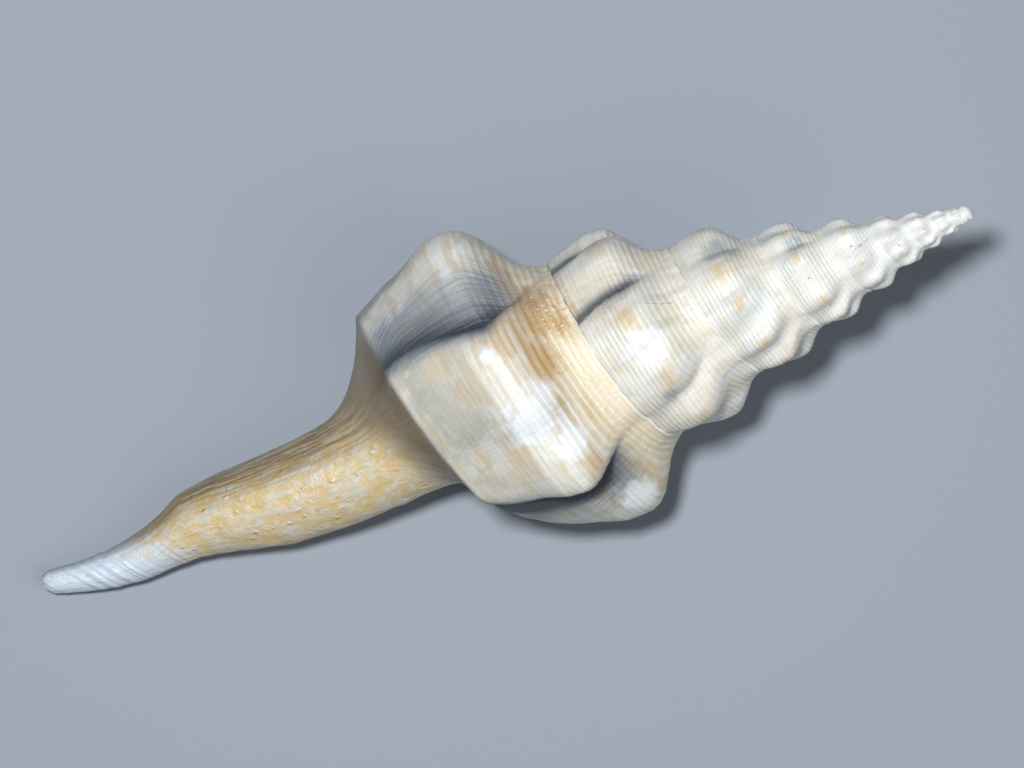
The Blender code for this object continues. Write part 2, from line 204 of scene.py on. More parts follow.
    def suture_radius(self, turn: Number) -> Number:
        """Return the radius of the suture line."""
        return np.hypot(self.suture_cone * self.suture_place(turn) + 1.3, self.apex_blunt)

    def whorl_height(self, turn: Number) -> Number:
        """Return the distance to the next suture line."""
        return self.suture_place(turn + 1.0) - self.suture_place(turn)

    def corner_place(self, turn: Number) -> Number:
        """Return the place of the base corner along the axis."""
        return self.suture_place(turn + 1.0) + self.corner_drop * 1.1 ** turn

    def share(self, row: Number) -> Number:
        """Return how far down its whorl a row lies, as a share of the height."""
        return np.clip(row, 0.0, 1.0) + self.corner_share * np.clip(row - 1.0, 0.0, 1.0)

    def rib_line(self) -> np.ndarray:
        """Return angle, height and shape of all crests and valleys, oldest first.

        Returns:
            Rows of winding angle, height and shape of the older side.
        """
        crests = list(self.knobs)
        while crests[-1] > self.first_turn * 360.0 - 400.0:
            crests.append(crests[-1] - self.early_knob_step)
        special = {row[0]: row[1:] for row in self.valleys}
        line = list(self.last_ribs)
        for crest, older in zip(crests, crests[1:]):
            at, height, fall, rise = special.get(crest, ((crest + older) / 2.0, 0.0, 2.5, 2.5))
            line += [(crest, 1.0, fall), (at, height, rise)]
        return np.array(line[::-1])

    def ribs(self, angle: Number) -> dict[str, np.ndarray]:
        """Return how the ribs stand at winding angles.

        Args:
            angle: winding angle in degrees, with the lean of the ribs taken off.

        Returns:
            Arrays phase, whole on each crest, low and high, the heights of the valley and
            the crest beside the angle, and sharp, the shape of the side between them.
        """
        line = self.rib_line()
        after = np.clip(np.searchsorted(line[:, 0], angle), 1, len(line) - 1)
        near, far = line[after - 1], line[after]
        share = (angle - near[..., 0]) / (far[..., 0] - near[..., 0])
        crest_first = (after - 1) % 2 == 1
        return {
            "phase": (after - 2.0 + np.clip(share, 0.0, 1.0)) / 2.0,
            "low": np.where(crest_first, far[..., 1], near[..., 1]),
            "high": np.where(crest_first, near[..., 1], far[..., 1]),
            "sharp": far[..., 2]}

    def profile(self, turn: Number, s: Number) -> tuple[Number, Number]:
        """Return valley radius and rib height as shares of the whorl height.

        Args:
            turn: turn of the spiral, see turn_of.
            s: share of the whorl height, 0 at the suture.

        Returns:
            Both as arrays in the shape of the input.
        """
        body = smooth((turn - self.body_from) / (self.body_full - self.body_from))
        base = np.interp(s, self.whorl_s, self.spire_base)
        base = base + (np.interp(s, self.whorl_s, self.body_base) - base) * body
        rib = np.interp(s, self.whorl_s, self.spire_rib)
        rib = rib + (np.interp(s, self.whorl_s, self.body_rib) - rib) * body
        return base, rib * smooth(turn - self.first_turn - 0.3)

    def older_edge(self, angle: Number) -> Number:
        """Return how far the whorl before stands above the nominal suture radius.

        Args:
            angle: winding angle in degrees.

        Returns:
            The distance in drawing units.
        """
        turn = turn_of(angle) - 1.0
        base, rib = self.profile(turn, 1.0)
        ribs = rib * rib_wave(self.ribs(angle - 360.0 - self.lean(angle - 360.0, 1.0)))
        edge = self.suture_radius(turn) + self.whorl_height(turn) * (base + ribs)
        return edge - self.suture_radius(turn + 1.0)

    def lean(self, angle: Number, s: Number) -> Number:
        """Return how many degrees a rib has moved on at a share of the whorl.

        Args:
            angle: winding angle in degrees.
            s: share of the whorl height, 0 at the suture.

        Returns:
            The degrees.
        """
        turn = turn_of(angle)
        top = np.interp(angle, (-60.0, 0.0, 40.0), (16.0, 24.0, 40.0))
        skew = np.interp(turn, (-3.0, -1.4, -1.1, -0.5), (8.0, 18.0, 24.0, -6.0))
        return top * np.clip(1.0 - s / 0.5, 0.0, 1.0) ** 1.3 - skew * (s - 0.5)

    def whorl(self, angle: Number, row: Number) -> dict[str, np.ndarray]:
        """Describe the profile between the suture and the base corner.

        Args:
            angle: winding angle in degrees.
            row: 0 to 1 between two sutures, 1 to 2 down to the base corner.

        Returns:
            Arrays place, valley radius, rib height and the numbers of the ribs.
        """
        turn = turn_of(angle)
        height = self.whorl_height(turn)
        past = np.clip(row - 1.0, 0.0, 1.0)
        s = self.share(row)
        base, rib = self.profile(turn, s)
        bulge = smooth(s / 0.3) * sum(
            share * np.exp(-((angle - middle) / width) ** 2 - ((s - at) / spread) ** 2)
            for middle, width, at, spread, share in self.bulges)
        join = np.clip(1.0 - s / 0.3, 0.0, 1.0) ** 2 * self.older_edge(angle)
        valley = self.suture_radius(turn) + height * (base + bulge) + join
        place = self.suture_place(turn) + np.clip(row, 0.0, 1.0) * height
        place = place + past * (self.corner_place(turn) - self.suture_place(turn + 1.0))
        found = self.ribs(angle - self.lean(angle, s))
        start = np.sqrt(smooth((turn - self.first_turn) / self.apex_turns + 0.02))
        found.update(place=self.apex_place + (place - self.apex_place) * start,
                     valley=valley * start, rib=rib * height * start)
        return found

    def pipe_radius(self, angle: Number, place: Number) -> Number:
        """Return the radius of the neck and canal, tucked in beside the slit.

        Args:
            angle: winding angle in degrees.
            place: place along the axis, counted from the apex.

        Returns:
            The radius in drawing units.
        """
        outer = np.interp(place, self.canal_t, self.canal_r)
        pillar = np.interp(place, self.pillar_t, self.pillar_r)
        opened = smooth((angle - self.lip_angle + 360.0) / 58.0)
        return pillar + (outer - pillar) * opened

    def nominal(self, angle: Number, row: Number) -> dict[str, np.ndarray]:
        """Return the growth numbers of points on the outer surface.

        Args:
            angle: winding angle in degrees.
            row: 0 to 1 between two sutures, 1 to 2 to the base corner, 2 to 3 across
                the base to the neck and 3 to 4 along the canal to its tip.

        Returns:
            Arrays named place, valley, rib, phase, low, high, sharp, around, bend, lift.
        """
        angle, row = np.broadcast_arrays(np.asarray(angle, float), np.asarray(row, float))
        around = angle + self.canal_twist * smooth((row - 2.0) / 1.4)
        turn = turn_of(around)
        found = self.whorl(angle, np.minimum(row, 2.0))
        edge = self.whorl(around, np.full_like(row, 2.0))
        corner = self.corner_place(turn)
        scale = 1.3 ** turn
        neck = corner + 1.8 * self.base_length * scale
        lower = np.where(row <= 3.0, corner + (row - 2.0) * (neck - corner),
                         neck + (row - 3.0) * (self.axis_length - neck))
        drawn = np.clip((lower - corner) / scale, 0.0, None)
        fall = np.exp(-(drawn / self.base_fall) ** self.base_curve)
        pipe = self.pipe_radius(angle, lower)
        below = row > 2.0
        freed = smooth(drawn / 75.0) * below
        place = np.where(below, lower, found["place"])
        return {
            "place": place,
            "valley": np.where(below, pipe + (edge["valley"] - pipe) * fall,
                               found["valley"]),
            "rib": np.where(below, edge["rib"] * fall, found["rib"]),
            **{name: np.where(below, edge[name], found[name])
               for name in ("phase", "low", "high", "sharp")},
            "around": around,
            "bend": np.interp(place, self.canal_t, self.canal_bend) * freed,
            "lift": np.interp(place, self.canal_t, self.canal_lift) * freed}

    def points(self, angle: Number, row: Number, spread: Number = 0.0) -> np.ndarray:
        """Return points of the outer surface in axis space, apex towards +X.

        Args:
            angle: winding angle in degrees.
            row: place between the suture and the tip of the canal, see nominal.
            spread: degrees to both sides within which the lowest rib height counts.

        Returns:
            The points, in drawing units.
        """
        n = self.nominal(angle, row)
        wave = rib_wave(n)
        for step in (-1.0, -0.5, 0.5, 1.0) if np.any(spread) else ():
            wave = np.minimum(wave, rib_wave(self.nominal(angle + step * spread, row)))
        return wound(n, wave)

    def arc_length(self, angle: Number) -> Number:
        """Return the length grown along the shoulder from the apex to an angle.

        Args:
            angle: winding angle in degrees.

        Returns:
            The length in drawing units.
        """
        steps = np.linspace(self.first_turn * 360.0 - 300.0, 500.0, 2000)
        turn = turn_of(steps)
        radius = self.suture_radius(turn) + 0.35 * self.whorl_height(turn)
        length = np.concatenate([[0.0], np.cumsum(
            np.radians(np.diff(steps)) * (radius[1:] + radius[:-1]) / 2.0)])
        return np.interp(angle, steps, length)


def rib_wave(ribs: dict[str, np.ndarray]) -> np.ndarray:
    """Return the height of the ribs from their phase, low, high and sharp numbers."""
    wave = np.abs(np.cos(math.pi * ribs["phase"])) ** ribs["sharp"]
    return ribs["low"] + (ribs["high"] - ribs["low"]) * wave


@dataclass(frozen=True)
class Pose:
    """Where the shell's axis lies in the frame."""

    growth: Growth
    shift: Vector

    @classmethod
    def from_frame(cls, growth: Growth, node: str) -> "Pose":
        """Return the pose that puts the growth law into the box of a CAD node.

        Args:
            growth: the growth law.
            node: name of the CAD node.

        Returns:
            The pose, with the middle of the box kept and the lowest point on its floor.
        """
        spire_turns = np.arange(growth.first_turn * 360.0 + SUTURE_START,
                                growth.lip_angle, BOX_STEP)
        spire = growth.points(spire_turns[:, None], np.linspace(0.0, 1.0, 12)[None, :])
        last = np.arange(360.0 / BOX_STEP + 1.0) * BOX_STEP + growth.lip_angle - 360.0
        body = growth.points(last[:, None], np.linspace(0.0, 4.0, 161)[None, :])
        cloud = np.vstack([spire.reshape(-1, 3), body.reshape(-1, 3)])
        placed = turn_and_scale(growth, cloud)
        low, high = (np.array(corner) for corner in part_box(node))
        middle = (placed.min(0) + placed.max(0)) / 2.0
        target = (low + high) / 2.0
        return cls(growth, Vector((target[0] - middle[0], target[1] - middle[1],
                                   low[2] - placed[:, 2].min())))

    def spot(self, angle: float, row: float) -> tuple[float, float, float]:
        """Return a place of the outer surface in the frame."""
        return tuple(self.to_frame(self.growth.points(angle, row)[None, :])[0])

    def to_frame(self, points: np.ndarray) -> np.ndarray:
        """Return axis space points in the frame, in metres."""
        return turn_and_scale(self.growth, points) + np.array(self.shift)


def turn_and_scale(growth: Growth, points: np.ndarray) -> np.ndarray:
    """Return axis space points laid down by the pitch and scaled to metres.

    Args:
        growth: the growth law.
        points: points in axis space, in drawing units.

    Returns:
        The points, in metres.
    """
    pitch = math.radians(growth.pitch_deg)
    x, y, z = points[..., 0], points[..., 1], points[..., 2]
    laid = np.stack([x * math.cos(pitch) - z * math.sin(pitch), y,
                     x * math.sin(pitch) + z * math.cos(pitch)], -1)
    return laid * growth.unit


@dataclass(frozen=True)
class Signal:
    """A number inside a node tree that can be used in plain arithmetic."""

    tree: NodeTree
    socket: NodeSocket

    def math(self, operation: str, *others: object) -> "Signal":
        """Return the result of a Math node with this signal first."""
        return math_node(self.tree, operation, self, *others)

    def step(self, low: float, high: float) -> "Signal":
        """Return a smooth step that is 0 at low and 1 at high; high may be lower.

        Args:
            low: where the step is 0.
            high: where the step is 1.

        Returns:
            The step as a signal.
        """
        rising = low < high
        node = add_node(self.tree, "ShaderNodeMapRange", {
            "Value": self, "From Min": min(low, high), "From Max": max(low, high),
            "To Min": 0.0 if rising else 1.0, "To Max": 1.0 if rising else 0.0},
            interpolation_type="SMOOTHSTEP")
        return Signal(self.tree, node.outputs["Result"])

    def bump(self, middle: float, width: float) -> "Signal":
        """Return a soft bell of the given half width around middle."""
        offset = (self - middle) / width
        return math_node(self.tree, "POWER", BELL_FALL, offset * offset)


def add_operators() -> None:
    """Give signals the plain arithmetic operators."""
    for name, operation in (("add", "ADD"), ("sub", "SUBTRACT"), ("mul", "MULTIPLY"),
                            ("truediv", "DIVIDE"), ("pow", "POWER")):
        setattr(Signal, f"__{name}__",
                lambda one, two, kind=operation: math_node(one.tree, kind, one, two))
        setattr(Signal, f"__r{name}__",
                lambda one, two, kind=operation: math_node(one.tree, kind, two, one))


def plug(tree: NodeTree, target: NodeSocket, value: object) -> None:
    """Link a signal or socket to an input, or set the input to a plain value.

    Args:
        tree: the tree that the nodes belong to.
        target: the input.
        value: what it gets.
    """
    if isinstance(value, Signal):
        tree.links.new(value.socket, target)
    elif isinstance(value, NodeSocket):
        tree.links.new(value, target)
    else:
        target.default_value = value


def add_node(tree: NodeTree, kind: str, inputs: Union[dict, Sequence] = (),
             **settings: object) -> Node:
    """Return a new node.

    Args:
        tree: where it is added.
        kind: its type.
        inputs: what is plugged into it, by name or number, or in order.
        settings: its properties.

    Returns:
        The node.
    """
    node = tree.nodes.new(kind)
    for name, value in settings.items():
        setattr(node, name, value)
    for key, value in inputs.items() if isinstance(inputs, dict) else enumerate(inputs):
        plug(tree, node.inputs[key], value)
    return node


def math_node(tree: NodeTree, operation: str, *values: object) -> Signal:
    """Return the result of a Math node."""
    node = add_node(tree, "ShaderNodeMath", values, operation=operation)
    return Signal(tree, node.outputs[0])


def vector_math(tree: NodeTree, operation: str, *values: object,
                scale: object = None) -> NodeSocket:
    """Return the result of a Vector Math node; the scale goes with SCALE only.

    Args:
        tree: the tree that the nodes belong to.
        operation: what the node does.
        values: its vectors, as sockets, signals or tuples.
        scale: the factor of SCALE.

    Returns:
        The socket of the result.
    """
    node = add_node(tree, "ShaderNodeVectorMath", values, operation=operation)
    if scale is not None:
        plug(tree, node.inputs["Scale"], scale)
    return node.outputs["Value" if operation in ("DISTANCE", "DOT_PRODUCT") else "Vector"]


def vector_of(tree: NodeTree, *parts: object) -> NodeSocket:
    """Return a vector socket made of up to three numbers."""
    return add_node(tree, "ShaderNodeCombineXYZ", parts).outputs[0]


def noise(tree: NodeTree, vector: Union[NodeSocket, Signal, tuple],
          scale: object = 1.0, detail: float = 2.0, rough: float = 0.5,
          bend: float = 0.0) -> Signal:
    """Return a noise of about 0.5 on average; the vector may be a tuple of numbers.

    Args:
        tree: the tree that the nodes belong to.
        vector: where the noise is read.
        scale: how fine it is.
        detail: number of finer layers.
        rough: weight of the finer layers.
        bend: how far it bends itself.

    Returns:
        The noise as a signal.
    """
    place = vector_of(tree, *vector) if isinstance(vector, tuple) else vector
    node = add_node(tree, "ShaderNodeTexNoise", {
        "Vector": place, "Scale": scale, "Detail": detail, "Roughness": rough,
        "Distortion": bend})
    return Signal(tree, node.outputs[0])


def cells(tree: NodeTree, vector: NodeSocket) -> Signal:
    """Return the distance to the nearest of randomly placed points."""
    node = add_node(tree, "ShaderNodeTexVoronoi", {"Vector": vector, "Scale": 1.0})
    return Signal(tree, node.outputs["Distance"])


def blend(tree: NodeTree, share: object, first: object, second: object) -> NodeSocket:
    """Return a colour between two colours.

    Args:
        tree: the tree that the nodes belong to.
        share: 0 for the first colour, 1 for the second.
        first: a colour.
        second: a colour.

    Returns:
        The socket of the colour.
    """
    node = add_node(tree, "ShaderNodeMix", {0: share, 6: first, 7: second},
                    data_type="RGBA")
    return node.outputs[2]


add_operators()

# Mesh density of the shell
TURN_STEPS = 144          # columns in one turn
FINE_TURNS = 4            # the last turns have every column, earlier ones every second
CORDS = 24                # spiral cords between two sutures
FINE_ROWS = 4             # rows to one cord in the last turns
COARSE_ROWS = 2           # and in earlier ones
BASE_ROWS = 24
CANAL_ROWS = 110
CORNER_ROWS = 12
HOLLOW_STEPS = 20
DOME_RINGS = (0.97, 0.87, 0.7, 0.45, 0.2)     # radii of the rings on the apex

# The hollow behind the aperture
HOLLOW_DEPTH = 250.0      # degrees that it goes in from the aperture
CANAL_DEPTH = 150.0       # and in the canal
LIP_WALL = 6.0            # thickness at the outer lip, in drawing units
BODY_WALL = 10.0          # and further in
WELD_ROW = 1.5            # where it begins below the suture


class GrowthNet:
    """Collects vertices with their growth numbers and faces with their corners."""

    NUMBERS = ("place", "valley", "rib", "phase", "low", "high", "sharp", "around", "bend",
               "lift", "row", "arc", "turn", "cord", "cord_height", "skin", "flank")

    def __init__(self, growth: Growth) -> None:
        """Start an empty net for a growth law.

        Args:
            growth: the growth law.
        """
        self.growth = growth
        self.parts: dict[str, list[np.ndarray]] = {name: [] for name in self.NUMBERS}
        self.count = 0
        self.faces: list[list[int]] = []
        self.corners: list[tuple[float, float]] = []
        self.inner_from = 0

    def add(self, angle: Number, row: Number) -> np.ndarray:
        """Add outer points and return their numbers in the shape of the input.

        Args:
            angle: winding angle in degrees.
            row: place between the suture and the tip of the canal.

        Returns:
            The indices of the new vertices.
        """
        angle, row = np.broadcast_arrays(np.asarray(angle, float), np.asarray(row, float))
        numbers = self.growth.nominal(angle, row)
        turn = turn_of(angle)
        numbers.update(
            row=row, turn=turn, arc=self.growth.arc_length(angle),
            cord=cord_number(turn, row), skin=np.ones_like(row),
            cord_height=cord_strength(turn, self.growth.share(row), row),
            flank=self.flank(angle, row))
        return self.store(numbers, row.shape)

    def flank(self, angle: np.ndarray, row: np.ndarray) -> np.ndarray:
        """Return how steeply the radius falls towards the lip, per degree and height.

        Args:
            angle: winding angle in degrees.
            row: place between the suture and the tip of the canal.

        Returns:
            The steepness, positive on the side towards the lip.
        """
        radii = []
        for step in (-1.5, 1.5):
            n = self.growth.nominal(angle + step, row)
            radii.append(n["valley"] + n["rib"] * rib_wave(n))
        height = self.growth.whorl_height(turn_of(angle))
        return (radii[0] - radii[1]) / (3.0 * height)

    def add_inner(self, points: np.ndarray) -> np.ndarray:
        """Add points of the hollow or the dome on the apex, given in axis space.

        Args:
            points: points in axis space, in drawing units.

        Returns:
            The indices of the new vertices.
        """
        shape = points.shape[:-1]
        numbers = {name: np.zeros(shape) for name in self.NUMBERS}
        numbers.update(place=-points[..., 0],
                       valley=np.hypot(points[..., 1], points[..., 2]),
                       around=np.degrees(np.arctan2(points[..., 1], points[..., 2])))
        return self.store(numbers, shape)

    def store(self, numbers: dict[str, np.ndarray], shape: tuple) -> np.ndarray:
        """Keep the numbers of new vertices and return their indices.

        Args:
            numbers: growth numbers by name.
            shape: shape of the table of vertices.

        Returns:
            The indices in that shape.
        """
        for name in self.NUMBERS:
            self.parts[name].append(np.asarray(numbers[name], float).ravel())
        size = int(np.prod(shape))
        first = self.count
        self.count += size
        return np.arange(first, first + size).reshape(shape)

    def drop_loose(self) -> None:
        """Leave out vertices that no face uses."""
        used = np.unique([index for face in self.faces for index in face])
        number = np.zeros(self.count, int)
        number[used] = np.arange(len(used))
        self.faces = [[int(number[index]) for index in face] for face in self.faces]
        self.parts = {name: [np.concatenate(values)[used]]
                      for name, values in self.parts.items()}
        self.count = len(used)

    def face(self, corners: Iterable[tuple[int, float, float]]) -> None:
        """Add a face from (vertex, angle, row) corners, without doubled vertices.

        Args:
            corners: the corners in their order round the face.
        """
        kept: list[int] = []
        places: list[tuple[float, float]] = []
        for index, angle, row in corners:
            if index not in kept:
                kept.append(int(index))
                places.append((angle, row))
        if len(kept) > 2:
            self.faces.append(kept)
            self.corners.extend(places)

    def strip(self, left: list, right: list, below: list) -> None:
        """Add the faces between two columns, each a list of (vertex, angle, row).

        Args:
            left: corners of the first column from the top row down.
            right: corners of the next column; its count may be a multiple or a share.
            below: corners on the lower edge between the two columns.
        """
        pieces = min(len(left), len(right)) - 1
        near, far = (len(left) - 1) // pieces, (len(right) - 1) // pieces
        for j in range(pieces):
            down = left[j * near:(j + 1) * near + 1]
            up = right[j * far:(j + 1) * far + 1][::-1]
            middle = below if j == pieces - 1 else []
            self.face(down + middle + up)

    def grid(self, table: np.ndarray, angles: np.ndarray, rows: np.ndarray) -> None:
        """Add the faces of a table of vertices.

        Args:
            table: vertex indices by column and row.
            angles: winding angle of each column.
            rows: row number of each row.
        """
        for i in range(table.shape[0] - 1):
            for j in range(table.shape[1] - 1):
                self.face((
                    (table[i, j], angles[i], rows[j]),
                    (table[i, j + 1], angles[i], rows[j + 1]),
                    (table[i + 1, j + 1], angles[i + 1], rows[j + 1]),
                    (table[i + 1, j], angles[i + 1], rows[j])))


def cord_number(turn: Number, row: Number) -> Number:
    """Return the running number of the spiral cords; early whorls have fewer of them."""
    count = np.interp(turn, (-8.0, -5.0, -3.0, -1.5, -0.5), (9.0, 11.0, 15.0, 20.0, CORDS))
    return count * np.interp(row, (0.0, 1.0, 2.0, 3.0, 4.0), (0.0, 1.0, 1.25, 1.75, 4.0))


def cord_strength(turn: Number, s: Number, row: Number) -> Number:
    """Return how far the spiral cords stand out, 1 at their strongest.

    Args:
        turn: turn of the spiral, see turn_of.
        s: share of the whorl height, 0 at the suture.
        row: place between the suture and the tip of the canal.

    Returns:
        The strength in the shape of the input.
    """
    body = smooth((turn + 1.3) / 0.8)
    ramp = np.interp(s, (0.0, 0.03, 0.08, 0.32, 0.42, 0.55, 0.8, 1.18),
                     (0.0, 0.1, 0.6, 0.7, 0.5, 0.2, 0.12, 0.10))
    spire = np.interp(s, (0.0, 0.03, 0.08, 0.95, 1.0), (0.0, 0.1, 0.5, 0.5, 0.2))
    share = spire + (ramp - spire) * body
    grown = np.interp(turn, (-8.0, -6.0, -3.0, -1.0), (0.25, 0.4, 0.7, 1.0))
    return share * grown * np.interp(row, (1.9, 2.1, 3.0), (1.0, 0.5, 0.0))


class ShellSurface:
    """Builds the faces of the shell from its growth law."""

    def __init__(self, growth: Growth) -> None:
        """Lay out the columns and rows of the net.

        Args:
            growth: the growth law.
        """
        self.growth = growth
        self.net = GrowthNet(growth)
        self.last = int(round((growth.lip_angle / 360.0 - 0.25 - growth.first_turn)
                              * TURN_STEPS))
        self.step = 360.0 / TURN_STEPS
        self.fine_from = self.last - FINE_TURNS * TURN_STEPS
        self.columns: dict[int, list] = {}
        self.lower_rows = np.concatenate([
            np.linspace(1.0, 2.0, CORNER_ROWS + 1)[1:],
            2.0 + np.linspace(0.0, 1.0, BASE_ROWS + 1)[1:] ** 1.3])
        self.canal_rows = 3.0 + (1.0 - (1.0 - np.linspace(
            0.0, 1.0, CANAL_ROWS + 1)[1:]) ** 1.15)

    def angle(self, column: int) -> float:
        """Return the winding angle of a column."""
        return self.growth.lip_angle + (column - self.last) * self.step

    def row_count(self, column: int) -> int:
        """Return the number of rows between two sutures at a column."""
        return CORDS * (FINE_ROWS if column >= self.fine_from else COARSE_ROWS)

    def build(self) -> GrowthNet:
        """Return the closed net of the whole shell.

        Returns:
            The net, without loose vertices.
        """
        self.add_columns()
        self.add_spire()
        self.add_apex()
        self.add_body()
        self.add_canal()
        self.net.inner_from = len(self.net.faces)
        near, far = self.add_hollow()
        self.close_edges(near, far)
        self.net.drop_loose()
        return self.net

    def add_columns(self) -> None:
        """Add the vertices of all columns between their two sutures."""
        start = self.net.add(self.angle(0), np.array([0.0]))[0]
        self.columns[0] = [(start, self.angle(0), row)
                           for row in np.linspace(0.0, 1.0, CORDS + 1)[:-1]]
        for column in range(1, self.last + 1):
            if column < self.fine_from and column % 2:
                continue
            rows = np.linspace(0.0, 1.0, self.row_count(column) + 1)[:-1]
            index = self.net.add(self.angle(column), rows)
            self.columns[column] = [(i, self.angle(column), row)
                                    for i, row in zip(index, rows)]

    def foot(self, column: int) -> tuple[int, float, float]:
        """Return the corner where a column meets the next whorl."""
        return self.columns[column + TURN_STEPS][0][0], self.angle(column), 1.0

    def add_spire(self) -> None:
        """Add the faces of all whorls before the last one."""
        order = sorted(self.columns)
        for left, right in zip(order, order[1:]):
            if right > self.last - TURN_STEPS:
                break
            between = [self.foot(k) for k in range(left + 1, right)
                       if k + TURN_STEPS in self.columns]
            self.net.strip(self.columns[left] + [self.foot(left)],
                           self.columns[right] + [self.foot(right)], between)

    def add_apex(self) -> None:
        """Close the first turn with a round dome between its suture and the apex."""
        rim = [self.columns[k][0] for k in sorted(self.columns) if 0 < k <= TURN_STEPS]
        top = self.columns[0][0]
        cloud = net_points(self.net)
        start = cloud[top[0]]
        edge = np.array([cloud[corner[0]] for corner in rim[1:-1]])
        before = rim
        for share in DOME_RINGS:
            fall = 1.0 - math.sqrt(1.0 - share ** 2)
            dome = start + (edge - start) * np.array([fall, share, share])
            ring = [(int(k), corner[1], 0.0)
                    for k, corner in zip(self.net.add_inner(dome), rim[1:-1])]
            ring = [rim[0]] + ring + [rim[-1]]
            for i in range(len(ring) - 1):
                self.net.face((ring[i], before[i], before[i + 1], ring[i + 1]))
            before = ring
        for left, right in zip(before, before[1:]):
            self.net.face((top, left, right))

    def add_body(self) -> None:
        """Add the last whorl down to the neck."""
        first = self.last - TURN_STEPS
        self.body = list(range(first, self.last + 1))
        angles = np.array([self.angle(k) for k in self.body])
        suture_end = self.columns[self.last][0][0]
        whorl_end = self.net.add(angles[1:], np.full(TURN_STEPS, 1.0))
        low = self.net.add(angles[:, None], self.lower_rows[None, :])
        line = np.concatenate([[suture_end], whorl_end])
        self.lower = np.column_stack([line, low])
        rows = np.concatenate([[1.0], self.lower_rows])
        for i, k in enumerate(self.body[:-1]):
            left, right = self.columns[k], self.columns[k + 1]
            foot = (self.lower[i, 0], self.angle(k), 1.0)
            next_foot = (self.lower[i + 1, 0], self.angle(k + 1), 1.0)
            self.net.strip(left + [foot], right + [next_foot], [])
        self.net.grid(self.lower, angles, rows)

    def add_canal(self) -> None:
        """Add the canal with every second column."""
        picked = np.arange(0, TURN_STEPS + 1, 2)
        angles = np.array([self.angle(self.body[i]) for i in picked])
        self.canal = self.net.add(angles[:, None], self.canal_rows[None, :])
        first = self.canal_rows[0]
        for i in range(len(picked) - 1):
            a = picked[i]
            top = [(self.lower[a + step, -1], self.angle(self.body[a + step]), 3.0)
                   for step in range(3)]
            self.net.face([top[0], (self.canal[i, 0], angles[i], first),
                           (self.canal[i + 1, 0], angles[i + 1], first), top[2], top[1]])
        self.net.grid(self.canal, angles, self.canal_rows)

    def wall_in(self, angle: np.ndarray, row: np.ndarray, depth: np.ndarray,
                spread: np.ndarray) -> np.ndarray:
        """Return outer points with widened valleys, moved into the wall by a depth.

        Args:
            angle: winding angle in degrees.
            row: place between the suture and the tip of the canal.
            depth: how far the points move, in drawing units.
            spread: degrees within which the lowest rib height counts.

        Returns:
            The moved points, in drawing units.
        """
        outer = self.growth.points
        here = outer(angle, row, spread)
        along = outer(angle + 1.0, row, spread) - outer(angle - 1.0, row, spread)
        down = outer(angle, row + 0.01, spread) - outer(angle, row - 0.01, spread)
        normal = np.cross(along, down)
        normal /= np.linalg.norm(normal, axis=-1, keepdims=True) + 1e-12
        return here - normal * depth[..., None]

    def add_hollow(self) -> tuple[np.ndarray, np.ndarray]:
        """Add both walls of the hollow behind the aperture.

        Returns:
            The vertex tables of the inner and the outer wall.
        """
        rows = np.concatenate([self.lower_rows, self.canal_rows])
        inner = rows[rows >= WELD_ROW - 1e-6]
        outer = np.interp(inner, (WELD_ROW, 2.0, 2.6, 3.0, 3.3, 4.0),
                          (0.10, 0.78, 1.75, 2.35, 3.3, 4.0))
        share = (np.linspace(0.0, 1.0, HOLLOW_STEPS + 1) ** 0.9)[:, None]
        canal = smooth((inner - 2.4) / 0.9)[None, :]
        depth = HOLLOW_DEPTH + (CANAL_DEPTH - HOLLOW_DEPTH) * canal
        angle = self.growth.lip_angle - share * depth
        wall_in = self.growth.points(angle - 360.0, inner[None, :])
        taper = np.interp(outer, (0.0, 3.0, 3.5, 3.8, 4.0), (1.0, 1.0, 0.75, 0.5, 0.34))
        thick = (LIP_WALL + (BODY_WALL - LIP_WALL) * smooth(share * depth / 25.0)) * taper
        spread = 12.0 * smooth(share * depth / 24.0)
        wall_out = self.wall_in(angle, np.broadcast_to(outer, angle.shape), thick, spread)
        gap = np.sqrt(np.clip(1.0 - share ** (7.0 - 4.0 * canal), 0.0, 1.0))
        wall_out = wall_in + (wall_out - wall_in) * gap[..., None]
        start = len(self.lower_rows) - (len(inner) - len(self.canal_rows)) + 1
        front = np.concatenate([self.lower[0, start:], self.canal[0]])
        near = np.vstack([front, self.net.add_inner(wall_in[1:])])
        far = self.net.add_inner(wall_out)
        far[-1] = near[-1]
        far[:, 0] = near[:, 0]
        angles = angle.mean(axis=1)
        self.net.grid(near, angles - 360.0, inner)
        self.net.grid(far, angles, outer)
        self.weld_index = start
        return near, far

    def close_edges(self, near: np.ndarray, far: np.ndarray) -> None:
        """Close the outer lip and the cut end of the canal.

        Args:
            near: vertex table of the inner wall.
            far: vertex table of the outer wall.
        """
        whorl = [corner[0] for corner in self.columns[self.last]]
        outside = np.concatenate([whorl, self.lower[-1], self.canal[-1]])
        inside = np.concatenate([self.lower[0, :self.weld_index], far[0]])
        self.zip_lines(outside, inside)
        ring = list(self.canal[::-1, -1]) + list(near[1:, -1]) + list(far[-2::-1, -1])
        self.net.face([(int(i), self.growth.lip_angle, 4.0) for i in ring])

